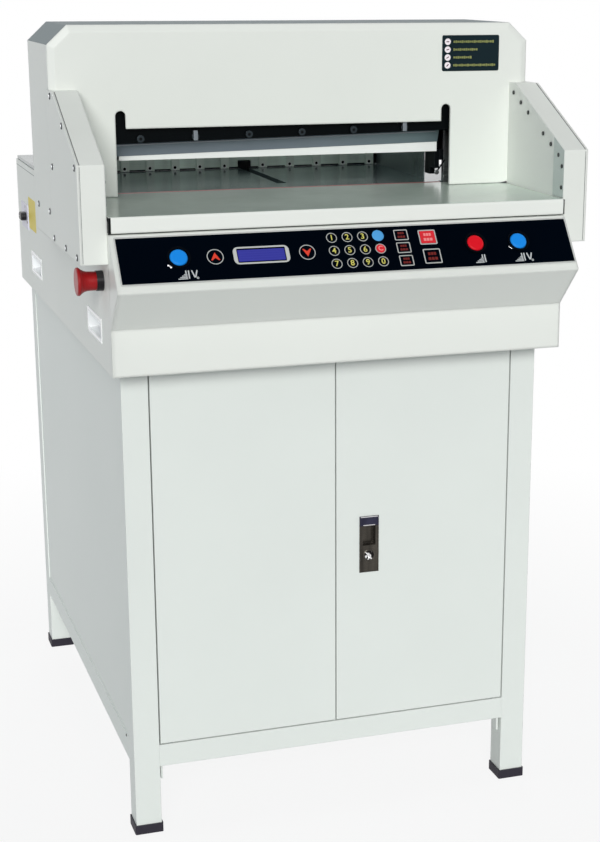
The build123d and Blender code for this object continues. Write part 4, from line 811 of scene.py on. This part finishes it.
def add_sign(shape, text, x, y, size, place, low, high):
    """Adds one printed sign, such as a digit, to a form."""
    curve = bpy.data.curves.new("sign", "FONT")
    curve.body = text
    curve.size = size * MM
    curve.align_x = "CENTER"
    curve.align_y = "CENTER"
    curve.extrude = (high - low) / 2 * MM
    curve.offset = size * MM * 0.012
    shown = bpy.data.objects.new("sign", curve)
    scene.collection.objects.link(shown)
    bpy.context.view_layer.update()
    made = bpy.data.meshes.new_from_object(shown.evaluated_get(bpy.context.evaluated_depsgraph_get()))
    made.transform(place @ Matrix.Translation((x * MM, y * MM, (low + high) / 2 * MM)))
    shape.from_mesh(made)
    bpy.data.objects.remove(shown)
    bpy.data.curves.remove(curve)
    bpy.data.meshes.remove(made)


# Places on the console's face, across from the machine's middle and up the slope from the lip
PRINT = 0.16
KEY_ROWS = (64.2, 45.2, 26.5)
KEY_COLUMNS = (-23.4, -2.4, 18.6, 39.5)
KEY_SIGNS = ("123", "456C", "7890")
ARROW_KEYS = ((-179.9, 1), (-59.4, -1))
ARROW_ROW = 45.2
SMALL_KEYS = ((71.3, 63.7), (71.3, 45.0), (71.3, 26.0))
RED_KEY = (107.1, 58.7)
DARK_KEY = (108.1, 30.6)
CUT_BUTTONS = (-226.6, 232.7)
BUTTON_ROW = 46.0
DISPLAY_ROW = 44.6


def make_key_prints():
    """Rings round the number keys and arrows, borders round the square keys, and the digits."""
    rings, digits, borders, arrows = new_forms(4)
    for row, signs in zip(KEY_ROWS, KEY_SIGNS):
        for x, sign in zip(KEY_COLUMNS, signs):
            prism(rings, circle(x, row, 7.2), console_face, 0, PRINT, hole=circle(x, row, 6.2))
            if sign != "C":
                add_sign(digits, sign, x, row, 11.0, console_face, 0, PRINT)
    for x, way in ARROW_KEYS:
        prism(rings, circle(x, ARROW_ROW, 10.8, 36), console_face, 0, PRINT,
              hole=circle(x, ARROW_ROW, 9.7, 36))
        head = [(0.0, 6.2), (6.0, -4.6), (4.2, -5.2), (0.0, -1.6), (-4.2, -5.2), (-6.0, -4.6)]
        prism(arrows, [(x + side, ARROW_ROW + way * rise) for side, rise in head], console_face, 0, PRINT)
    for x, row in SMALL_KEYS:
        prism(borders, rounded(x, row, 19.0, 15.6, 1.6), console_face, 0, PRINT,
              hole=rounded(x, row, 16.4, 13.0, 0.8))
    for x, row in (RED_KEY, DARK_KEY):
        prism(borders, rounded(x, row, 24.0, 21.6, 1.8), console_face, 0, PRINT,
              hole=rounded(x, row, 21.0, 18.6, 0.9))
    keep("key_rings", rings, silver_print, "frame")
    keep("key_digits", digits, yellow_print, "frame")
    keep("key_borders", borders, silver_print, "frame")
    keep("arrow_signs", arrows, arrow_print, "frame")


def make_raised_keys():
    """The red square key, the blue round key and the round key that clears."""
    red_key, blue_key, clear_key, clear_sign = new_forms(4)
    prism(red_key, rounded(*RED_KEY, 20.4, 18.0, 0.9), console_face, 0, 0.5)
    turned(blue_key, [(7.9, 0), (7.9, 0.5), (6.4, 1.0), (3.6, 1.3), (0, 1.4)],
           moved(console_face, KEY_COLUMNS[3], KEY_ROWS[0]))
    prism(clear_key, circle(KEY_COLUMNS[3], KEY_ROWS[1], 6.0), console_face, 0, 0.5)
    add_sign(clear_sign, "C", KEY_COLUMNS[3], KEY_ROWS[1], 9.5, console_face, 0.45, 0.62)
    keep("red_square_key", red_key, key_red, "frame", 0.2)
    keep("blue_round_key", blue_key, key_blue, "frame")
    keep("clear_round_key", clear_key, key_red, "frame", 0.2)
    keep("clear_key_sign", clear_sign, pink_print, "frame")


def add_blocks(shape, x, row, offset, length, height, low, high):
    """Three plain blocks in a line, where a key has its word."""
    for share in (-0.33, 0.0, 0.33):
        block = rounded(x + share * length, row + offset, length * 0.27, height, 0.4, 2)
        prism(shape, block, console_face, low, high)


def make_key_blocks():
    """Plain blocks on the square keys in place of words."""
    dull, pale = new_forms(2)
    for x, row in SMALL_KEYS:
        add_blocks(dull, x, row, 2.6, 9.0, 3.0, 0, PRINT)
        add_blocks(dull, x, row, -2.6, 11.0, 3.0, 0, PRINT)
    add_blocks(dull, *DARK_KEY, 3.6, 12.0, 4.2, 0, PRINT)
    add_blocks(dull, *DARK_KEY, -3.6, 14.0, 4.2, 0, PRINT)
    add_blocks(pale, *RED_KEY, 3.6, 11.0, 4.0, 0.5, 0.62)
    add_blocks(pale, *RED_KEY, -3.6, 13.0, 4.0, 0.5, 0.62)
    keep("square_key_marks", dull, dull_red_print, "frame")
    keep("red_key_marks", pale, pink_print, "frame")


def make_display_rim():
    """The black surround of the display and the silver rim on it."""
    x = (window_low.x + window_high.x) / 2
    width = window_high.x - window_low.x
    row = DISPLAY_ROW
    surround, rim = new_forms(2)
    prism(surround, rounded(x, row, width + 3.0, 28.0, 1.0), console_face, 0, 0.35,
          hole=rounded(x, row, 61.6, 16.8, 0.8))
    prism(rim, rounded(x, row, width, 24.6, 7.0, 6), console_face, 0.3, 0.95,
          hole=rounded(x, row, 63.6, 20.2, 1.6, 6))
    keep("display_surround", surround, panel_black, "frame")
    keep("display_rim", rim, silver_print, "frame", 0.25)


def make_panel_trim():
    """The fine silver line round the panel's film."""
    x = (panel_low.x + panel_high.x) / 2
    width = panel_high.x - panel_low.x
    row = PANEL_REACH - PANEL_HEIGHT / 2
    trim = bmesh.new()
    prism(trim, rounded(x, row, width + 3.6, PANEL_HEIGHT + 3.6, 1.6), console_face, 0, 0.5,
          hole=rounded(x, row, width - 0.6, PANEL_HEIGHT - 0.6, 0.5))
    keep("panel_trim", trim, silver_print, "frame", 0.15)


def make_button_pictures():
    """Plain pictures of a pile of sheets and what comes down on it, under the buttons."""
    pictures = bmesh.new()
    for x, row, shears in ((-222.0, 20.6, True), (175.6, 21.8, False), (231.6, 21.0, True)):
        for step in range(4):
            length = 12.4 - step * 2.6
            prism(pictures, rounded(x + 3.0 - length / 2, row - 4.2 + step * 2.0, length, 1.3, 0.3, 2),
                  console_face, 0, PRINT)
        for offset in (1.4, 4.8):
            prism(pictures, rounded(x + offset, row + 1.6, 1.7, 11.6, 0.4, 2), console_face, 0, PRINT)
        if shears:
            for lean, offset in ((16, 10.4), (-18, 14.2)):
                arm = moved(console_face, x + offset, row + 2.2, lean)
                prism(pictures, rounded(0, 0, 1.7, 10.6, 0.4, 2), arm, 0, PRINT)
            prism(pictures, circle(x + 15.4, row - 3.6, 1.6, 12), console_face, 0, PRINT,
                  hole=circle(x + 15.4, row - 3.6, 0.7, 12))
    keep("button_pictures", pictures, icon_print, "frame")


def make_button_glints():
    """Painted glints: small bright chrome marks at the lower left of the two cut buttons."""
    tabs = bmesh.new()
    for x, rise in zip(CUT_BUTTONS, (0.0, 2.4)):
        place = moved(console_face, x - 12.8, BUTTON_ROW - 11.2 + rise, -38)
        prism(tabs, rounded(0, 0, 6.8, 2.3, 1.0), place, 0, 0.9)
    keep("button_bezel_glints", tabs, bright_chrome_and_glint, "frame", 0.3)


# The plate on the gantry: its middle, its discs' column, its first line, where the bars start and how far
# each line of bars runs
PLATE_MIDDLE = (249.0, 1049.6)
PLATE_DISCS = 214.2
PLATE_LINE = 1065.2
PLATE_LINE_PITCH = 10.7
PLATE_BARS = 222.5
PLATE_LENGTHS = (60.0, 35.0, 27.0, 63.0)


def make_points_plate():
    """The black plate on the gantry with four pale discs, and plain bars in place of its lines."""
    plate, discs, bars, strokes = new_forms(4)
    prism(plate, rounded(*PLATE_MIDDLE, 86.0, 49.0, 2.4), gantry_front, 0, 0.7)
    for number, length in enumerate(PLATE_LENGTHS):
        z = PLATE_LINE - number * PLATE_LINE_PITCH
        prism(discs, circle(PLATE_DISCS, z, 4.5), gantry_front, 0.7, 0.85)
        place = moved(gantry_front, PLATE_DISCS, z, 15.0 * number)
        prism(strokes, rounded(0, 0, 4.2, 1.2, 0.3, 2), place, 0.85, 0.95)
        left, step = PLATE_BARS, number
        while left < PLATE_BARS + length:
            width = (3.2, 2.6, 3.6, 2.9)[step % 4]
            height = (3.0, 3.6, 2.6)[step % 3]
            prism(bars, rounded(left + width / 2, z, width - 0.5, height, 0.3, 2), gantry_front, 0.7, 0.82)
            left += width
            step += 1
    keep("points_plate", plate, plate_black, "frame", 0.2)
    keep("points_plate_discs", discs, plate_disc, "frame")
    keep("points_plate_strokes", strokes, disc_line, "frame")
    keep("points_plate_bars", bars, plate_mark, "frame")


# From the row of the knife's bolts down to where the blade shows under its carrier
BOLT_ROW_TO_BLADE = 8.6
# Counted from the left, the bolts that carry a lift block in place of a socket
LIFT_BLOCKS = (1, 5)


def make_knife_details():
    """The sockets in the knife's bolts, its two lift blocks and the bright strip on the blade's top."""
    bolts = [
        (low, high) for low, high in islands("knife_bolts")
        if high.x - low.x < 12 and low.y < CARRIER_FRONT
    ]
    sockets, blocks, strip = new_forms(3)
    for number, (low, high) in enumerate(bolts):
        middle = (low + high) / 2
        head = front_face(middle.x, low.y, middle.z)
        if number in LIFT_BLOCKS:
            block = front_face(middle.x, CARRIER_FRONT, middle.z)
            prism(blocks, rounded(0.0, 1.6, 6.0, 13.4, 0.6, 2), block, 0, 6.4)
        else:
            # Painted shade: a black hexagon stands in for the shade in each socket
            prism(sockets, circle(0, 0, 2.4, 6), head, -0.9, 0.06)
    first, last = (bolts[0][0] + bolts[0][1]) / 2, (bolts[-1][0] + bolts[-1][1]) / 2
    middle = (first + last) / 2
    along = Vector((last.x - first.x, 0, last.z - first.z))
    face = looking(at(middle.x, blade_low.y, middle.z), along, (-along.z, 0, along.x))
    width = blade_high.x - blade_low.x - 12.0
    offset = (blade_low.x + blade_high.x) / 2 - middle.x
    drop = BOLT_ROW_TO_BLADE + 1.0
    prism(strip, rounded(offset, -drop, width, 1.7, 0.4, 2), face, 0, 0.35)
    keep("knife_bolt_sockets", sockets, black_oxide_and_shade, "knife")
    keep("knife_lift_blocks", blocks, block_steel, "knife", 0.4)
    keep("blade_top_strip", strip, block_steel, "knife")


# How far behind the gantry's front the plate of painted shade at the throat's right end and the clamp's lip
# stand
THROAT_SHADE_DEPTH = 122.0
LIP_DEPTH = 40.7
THROAT_SHADE_HEIGHTS = (903.0, 990.0)


def make_throat_shade_plate():
    """A sheet of painted shade behind the right end of the throat, near-black from the gantry paint's
    painted shade, with a gap below it where the room shows.
    """
    plate = bmesh.new()
    low, high = THROAT_SHADE_HEIGHTS
    rear = front_face(0, THROAT_SHADE_DEPTH, 0)
    prism(plate, rounded(253.5, (low + high) / 2, 73.0, high - low, 1.0), rear, 0, 1.0)
    keep("throat_shade_plate", plate, gantry_paint_and_shade, "frame")


def make_clamp_lip():
    """The thin end of the clamp's face that passes in front of the right guide."""
    lip = bmesh.new()
    face = front_face(0, LIP_DEPTH, 0)
    low, high = span("clamp_beam")
    prism(lip, rounded(high.x + 1.4, low.z + 16.0, 4.4, 32.0, 0.3, 2), face, 0, 0.6)
    keep("clamp_face_lip", lip, clamp_alloy, "clamp")


# The heights of the end switch, the middle of its lever and its roller
SWITCH_HEIGHTS = (905.0, 889.0, 880.0)


def make_end_switch():
    """The limit switch on the right clamp guide, with its lever and roller."""
    face = front_face(guide_high.x, guide_low.y, 0)
    body, lever, roller = new_forms(3)
    body_z, lever_z, roller_z = SWITCH_HEIGHTS
    prism(body, rounded(3.0, body_z, 6.4, 15.0, 0.8, 2), face, -9.0, -1.0)
    prism(lever, rounded(0, 0, 2.0, 21.0, 0.7, 2), moved(face, 2.6, lever_z, -36), -3.4, -2.2)
    turned(roller, [(0, -4.2), (3.0, -4.2), (3.4, -3.8), (3.4, -1.8), (3.0, -1.4), (0, -1.4)],
           moved(face, -3.6, roller_z))
    keep("end_switch_body", body, black_oxide_and_shade, "frame", 0.4)
    keep("end_switch_lever", lever, black_oxide_and_shade, "frame", 0.2)
    keep("end_switch_roller", roller, plain_steel, "frame")


# Middles of the comb's ribs, counted out from the two beside the gauge's slot
LEFT_RIB = -34.6
LEFT_RIB_PITCH = 38.8
RIGHT_RIB = 26.3
RIGHT_RIB_PITCH = 43.6
RIB_WIDTH = 12.5
RIB_DEPTH = 4.0
RIBS = [LEFT_RIB - LEFT_RIB_PITCH * count for count in range(5)]
RIBS += [RIGHT_RIB + RIGHT_RIB_PITCH * count for count in range(5)]


def make_comb_screws():
    """The screw in its pale countersink at the foot of each rib of the comb, the countersink's wider lower
    side a painted highlight, and black strips of painted shadow along the comb's foot.
    """
    face = front_face(0, comb_low.y, 0)
    sinks, screws = new_forms(2)
    for x in RIBS:
        z = comb_low.z + 3.4
        # Painted highlight: each pale ring is wider below its screw, where the countersink catches the light
        prism(sinks, circle(x, z, 3.4), face, 0, 0.3, hole=circle(x, z + 0.7, 2.3))
        turned(screws, [(2.3, 0), (2.3, 0.2), (1.4, 0.3), (0, 0.3)], moved(face, x, z + 0.7), 16)
    keep("comb_screw_sinks", sinks, clamp_alloy, "gauge")
    keep("comb_screws", screws, black_oxide_and_shade, "gauge")
    # Painted shadow: black strips along the comb's foot, along the table under it and at its right end
    foot = bmesh.new()
    plates = front_face(0, comb_low.y + RIB_DEPTH, 0)
    ends = [comb_low.x] + sorted(RIBS) + [comb_high.x]
    for left, right in zip(ends, ends[1:]):
        left += RIB_WIDTH / 2 if left > comb_low.x else 0
        right -= RIB_WIDTH / 2 if right < comb_high.x else 0
        strip = rounded((left + right) / 2, comb_low.z + 0.9, right - left, 1.8, 0.2, 2)
        prism(foot, strip, plates, 0, 0.15)
    middle, length = (comb_low.x + comb_high.x) / 2, comb_high.x - comb_low.x
    prism(foot, rounded(middle, TABLE_TOP + 0.5, length, 0.7, 0.1, 2), plates, -2.0, 0.15)
    prism(foot, rounded(comb_high.x, (comb_low.z + comb_high.z) / 2, 7.6, comb_high.z - comb_low.z, 0.4, 2),
          plates, 0, 0.4)
    keep("comb_foot_shadow", foot, black_oxide_and_shade, "gauge")


def make_table_gap_shades():
    """Painted shade: black strips for the shaded gaps at the ends of the front table, and a dark wedge for
    the shaded gap at the gantry's right foot.
    """
    front = front_face(0, table_low.y, 0)
    middle = (table_low.z + table_high.z) / 2
    height = table_high.z - table_low.z
    gap_strips, gap_wedge = new_forms(2)
    prism(gap_strips, rounded(table_low.x + 0.9, middle, 3.0, height - 1.0, 0.4, 2), front, -12.0, 0.2)
    prism(gap_strips, rounded(table_high.x + 0.3, middle, 1.6, height - 1.0, 0.4, 2), front, -12.0, 0.1)
    corners = [(298.6, TABLE_TOP + 0.3), (308.8, TABLE_TOP + 0.1), (308.8, TABLE_TOP + 2.6)]
    prism(gap_wedge, corners, gantry_front, -1.0, 1.0)
    keep("table_end_gap_strips", gap_strips, black_oxide_and_shade, "frame")
    keep("gantry_foot_gap_wedge", gap_wedge, black_rubber_and_gap_shade, "frame")


def make_arm_shade_strips():
    """Painted shade: slightly darker strips, behind the lenses, on the inner faces of both arms."""
    strips = bmesh.new()
    rear = arm_low.y + 33.0
    slope = ARM_FALL / (-arm_low.y - ARM_LEVEL)
    for x, side in ((HOUSING_RIGHT, 1), (HOUSING_LEFT, -1)):
        face = looking(at(x, 0, 0), (0, -side, 0), (0, 0, 1))
        front_top = arm_high.z - ARM_FALL
        outline = [
            (-side * (arm_low.y + 0.5), TABLE_TOP + 0.6),
            (-side * (arm_low.y + 0.5), front_top - 0.5),
            (-side * rear, front_top + (rear - arm_low.y) * slope - 0.5),
            (-side * rear, TABLE_TOP + 0.6),
        ]
        prism(strips, outline, face, 0, 0.4)
    keep("arm_inner_shade_strips", strips, arm_strip_shade, "frame")


def make_arm_seams():
    """The dark seam where each arm's side sheet meets its front and its sloped top."""
    seams = bmesh.new()
    front_top = Vector((0, arm_low.y, arm_high.z - ARM_FALL))
    slope_top = Vector((0, -ARM_LEVEL, arm_high.z))
    slope = slope_top - front_top
    for side in (-1, 1):
        x = side * (-arm_low.x - 0.9)
        front = front_face(x, arm_low.y, 0)
        sloped = looking(at(x, front_top.y, front_top.z), (1, 0, 0), slope)
        height = front_top.z - arm_low.z
        prism(seams, rounded(0, arm_low.z + height / 2, 0.5, height - 4.0, 0.2, 2), front, 0, 0.1)
        prism(seams, rounded(0, slope.length / 2, 1.0, slope.length - 2.0, 0.2, 2), sloped, 0, 0.1)
    keep("arm_seams", seams, screw_dark, "frame")


def make_case_screws():
    """Case screws with a painted shadow ring round a bright middle."""
    shadow_rings, middles = new_forms(2)
    face = cover_low.x
    for low, high in islands("case_screws"):
        middle = (low + high) / 2
        side = math.copysign(1, middle.x)
        height = max(abs(low.x), abs(high.x)) - abs(face)
        place = looking(at(side * abs(face), middle.y, middle.z), (0, side, 0), (0, 0, 1))
        rim = [(4.4, 0), (4.4, height * 0.4), (3.4, height * 0.7), (2.0, height * 0.7), (2.0, 0)]
        turned(shadow_rings, rim, place, 20)
        turned(middles, [(2.1, 0), (2.1, height * 0.9), (1.6, height), (0, height)], place, 16)
    shown = keep("case_screw_shadow_rings", shadow_rings, screw_dark, "frame")
    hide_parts("case_screws")
    keep("case_screw_middles", middles, screw_zinc, "frame")


def make_housing_bends():
    """Painted shade: a grey line along the bend below the top of each side of the housing, behind the
    gantry.
    """
    bends = bmesh.new()
    start, end = GANTRY_REAR + 2.0, back_high.y - 2.0
    for x, side in ((HOUSING_LEFT, -1), (HOUSING_RIGHT, 1)):
        face = looking(at(x, 0, 0), (0, side, 0), (0, 0, 1))
        line = rounded(side * (start + end) / 2, TABLE_TOP + HOUSING_BEND, end - start, 1.2, 0.2, 2)
        prism(bends, line, face, 0, 0.1)
    keep("housing_bend_lines", bends, bend_shade_grey, "frame")


# The bolt by the left leg, by its y and z
SIDE_BOLT = (-98.9, 128.5)


def make_stand_details():
    """The small tabs under the front rail and the bolt by the left leg."""
    rail_low = span("bottom_rails")[0]
    door_edge = span("right_door")[1].x
    tabs, bolt = new_forms(2)
    for side in (-1, 1):
        face = front_face(side * (door_edge - 1.6), rail_low.y + 6.0, rail_low.z - 11.0)
        prism(tabs, rounded(0, 0, 3.0, 22.0, 0.8, 2), face, -16.0, 0)
    side_low = span("stand_legs")[0].x
    place = looking(at(side_low, *SIDE_BOLT), (0, -1, 0), (0, 0, 1))
    turned(bolt, [(2.0, 0), (2.0, 0.4), (1.2, 0.8), (0, 0.8)], place, 16)
    keep("rail_end_tabs", tabs, stand_paint, "frame", 0.3)
    keep("stand_side_bolt", bolt, black_oxide_and_shade, "frame")


def make_lock_details():
    """The raised border and bars of the lock plate, the bars' bright chrome a painted highlight, and the
    bright ring round its barrel.
    """
    x = (lock_low.x + lock_high.x) / 2
    z = (lock_low.z + lock_high.z) / 2
    width, height = lock_high.x - lock_low.x, lock_high.z - lock_low.z
    face = front_face(0, lock_low.y, 0)
    border, ridges, ring = new_forms(3)
    prism(border, rounded(x, z, width - 1.0, height - 1.0, 1.2), face, 0, 0.6,
          hole=rounded(x, z, width - 3.0, height - 3.0, 0.6))
    # Painted highlight: the bars' bright chrome stands for light along the plate's top edge and along a bar
    # below it
    prism(ridges, rounded(x, lock_high.z - 0.9, width - 3.0, 1.4, 0.5, 2), face, 0.6, 0.9)
    prism(ridges, rounded(x, lock_high.z - 13.0, 17.0, 1.3, 0.5, 2), face, 0, 0.8)
    turned(ring, [(9.4, 0), (9.2, 0.7), (8.4, 1.1), (7.0, 0.9), (6.6, 0)], moved(face, x, lock_low.z + 24.6))
    keep("lock_plate_border", border, lock_chrome_and_reflection, "right_door", 0.2)
    keep("lock_plate_ridges", ridges, bright_chrome_and_glint, "right_door", 0.2)
    keep("lock_barrel_ring", ring, lock_chrome_and_reflection, "right_door")


def make_stop_button():
    """The stop button's flared head with a hollow behind its rim."""
    middle = (stop_low + stop_high) / 2
    place = looking(at(stop_high.x, middle.y, middle.z), (0, -1, 0), (0, 0, 1))
    radius = (stop_high.z - stop_low.z) / 2
    depth = stop_high.x - stop_low.x
    head = bmesh.new()
    turned(head, [
        (8.2, 0), (12.0, 0), (12.4, depth - 14.0), (13.4, depth - 10.0), (15.6, depth - 6.4),
        (radius - 0.6, depth - 4.4), (radius, depth - 3.6), (radius, depth - 1.2),
        (radius - 1.0, depth - 0.3), (radius - 3.0, depth), (0, depth),
    ], place, 48)
    shown = keep("stop_button_head", head, stop_red, "stop_head")
    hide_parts("estop_button")


def make_switch_marks():
    """The line on the power knob, the numbers beside it and the small pin in its plate."""
    middle = (knob_low + knob_high) / 2
    knob_face = looking(at(knob_low.x, middle.y, middle.z), (0, -1, 0), (0, 0, 1))
    plate_face = looking(at(SWITCH_PLATE_FACE, middle.y, middle.z), (0, -1, 0), (0, 0, 1))
    line, numbers, pin = new_forms(3)
    prism(line, rounded(-7.0, 0, 7.0, 1.2, 0.4, 2), knob_face, -0.05, 0.12)
    add_sign(numbers, "0", 0, 14.6, 5.5, plate_face, 0, 0.12)
    add_sign(numbers, "1", -22.0, 0, 5.5, plate_face, 0, 0.12)
    turned(pin, [(2.2, 0), (2.2, 0.3), (1.2, 0.5), (0, 0.5)], moved(plate_face, 18.0, -8.0), 16)
    keep("power_knob_line", line, silver_print, "power")
    keep("power_switch_numbers", numbers, black_oxide_and_shade, "frame")
    keep("switch_plate_pin", pin, black_oxide_and_shade, "frame")


# The sticker's middle, counted forward from the gantry's front and up from the floor, and its size
STICKER = (-451.0, 787.0, 72.0, 50.0)


def make_sticker():
    """A plain yellow sticker on the left side."""
    sticker = bmesh.new()
    prism(sticker, rounded(*STICKER, 3.0), left_side, 0, 0.2)
    keep("plain_sticker", sticker, sticker_yellow, "frame")


# Across the back sheet: its screws, the middles of its two groups of vents, and the vents of a group
BACK_SCREWS = (-296.0, -100.0, 100.0, 296.0)
VENT_GROUPS = (-170.0, 170.0)
VENT_COUNT = 9
VENT_PITCH = 12.0


def make_back_details():
    """Screws along the back sheet, and black patches of painted shade for the mouths of its vents."""
    screws, vents = new_forms(2)
    for x in BACK_SCREWS:
        for z in (back_low.z + 10.0, back_high.z - 13.0):
            turned(screws, [(3.4, 0), (3.4, 0.7), (2.4, 1.5), (0, 1.7)], moved(rear_face, x, z), 20)
    middle = (back_low.z + back_high.z) / 2
    for group_x in VENT_GROUPS:
        for count in range(VENT_COUNT):
            x = group_x + (count - (VENT_COUNT - 1) / 2) * VENT_PITCH
            prism(vents, rounded(x, middle, 4.0, 72.0, 2.0), rear_face, 0, 0.12)
    keep("back_sheet_screws", screws, block_steel, "frame")
    keep("back_sheet_vent_shades", vents, black_oxide_and_shade, "frame")


# The floor's shadow fades beyond this many metres from the machine, and near it the floor is this much white
WHITE_FROM = 0.6
WHITE_NEAR = 0.88


def make_floor():
    """A pale floor that keeps the machine's shadow near it and is white further out."""
    material, tree, shader = new_material("studio_floor")
    shader.inputs["Base Color"].default_value = (0.66, 0.67, 0.68, 1.0)
    shader.inputs["Roughness"].default_value = 0.9
    shader.inputs["Specular IOR Level"].default_value = 0.0
    white = tree.nodes.new("ShaderNodeEmission")
    white.inputs["Color"].default_value = (1.0, 1.0, 1.0, 1.0)
    white.inputs["Strength"].default_value = 1.0
    away = tree.nodes.new("ShaderNodeVectorMath")
    away.operation = "LENGTH"
    tree.links.new(tree.nodes.new("ShaderNodeTexCoord").outputs["Object"], away.inputs[0])
    far = held(tree, maths(tree, "SUBTRACT", away.outputs["Value"], WHITE_FROM), 1.0)
    share = maths(tree, "ADD", WHITE_NEAR, maths(tree, "MULTIPLY", far, 1 - WHITE_NEAR))
    mix = tree.nodes.new("ShaderNodeMixShader")
    tree.links.new(maths(tree, "MULTIPLY", seen_directly(tree), share), mix.inputs[0])
    tree.links.new(shader.outputs[0], mix.inputs[1])
    tree.links.new(white.outputs[0], mix.inputs[2])
    out = [node for node in tree.nodes if node.type == "OUTPUT_MATERIAL"][0]
    tree.links.new(mix.outputs[0], out.inputs["Surface"])
    grid = bmesh.new()
    bmesh.ops.create_grid(grid, x_segments=1, y_segments=1, size=30.0)
    mesh = bpy.data.meshes.new("floor")
    grid.to_mesh(mesh)
    grid.free()
    floor = bpy.data.objects.new("floor", mesh)
    scene.collection.objects.link(floor)
    mesh.materials.append(material)


make_key_prints()
make_raised_keys()
make_key_blocks()
make_display_rim()
make_panel_trim()
make_button_pictures()
make_button_glints()
make_points_plate()
make_knife_details()
make_throat_shade_plate()
make_clamp_lip()
make_end_switch()
make_comb_screws()
make_table_gap_shades()
make_arm_shade_strips()
make_arm_seams()
make_case_screws()
make_housing_bends()
make_stand_details()
make_lock_details()
make_stop_button()
make_switch_marks()
make_sticker()
make_back_details()
make_floor()
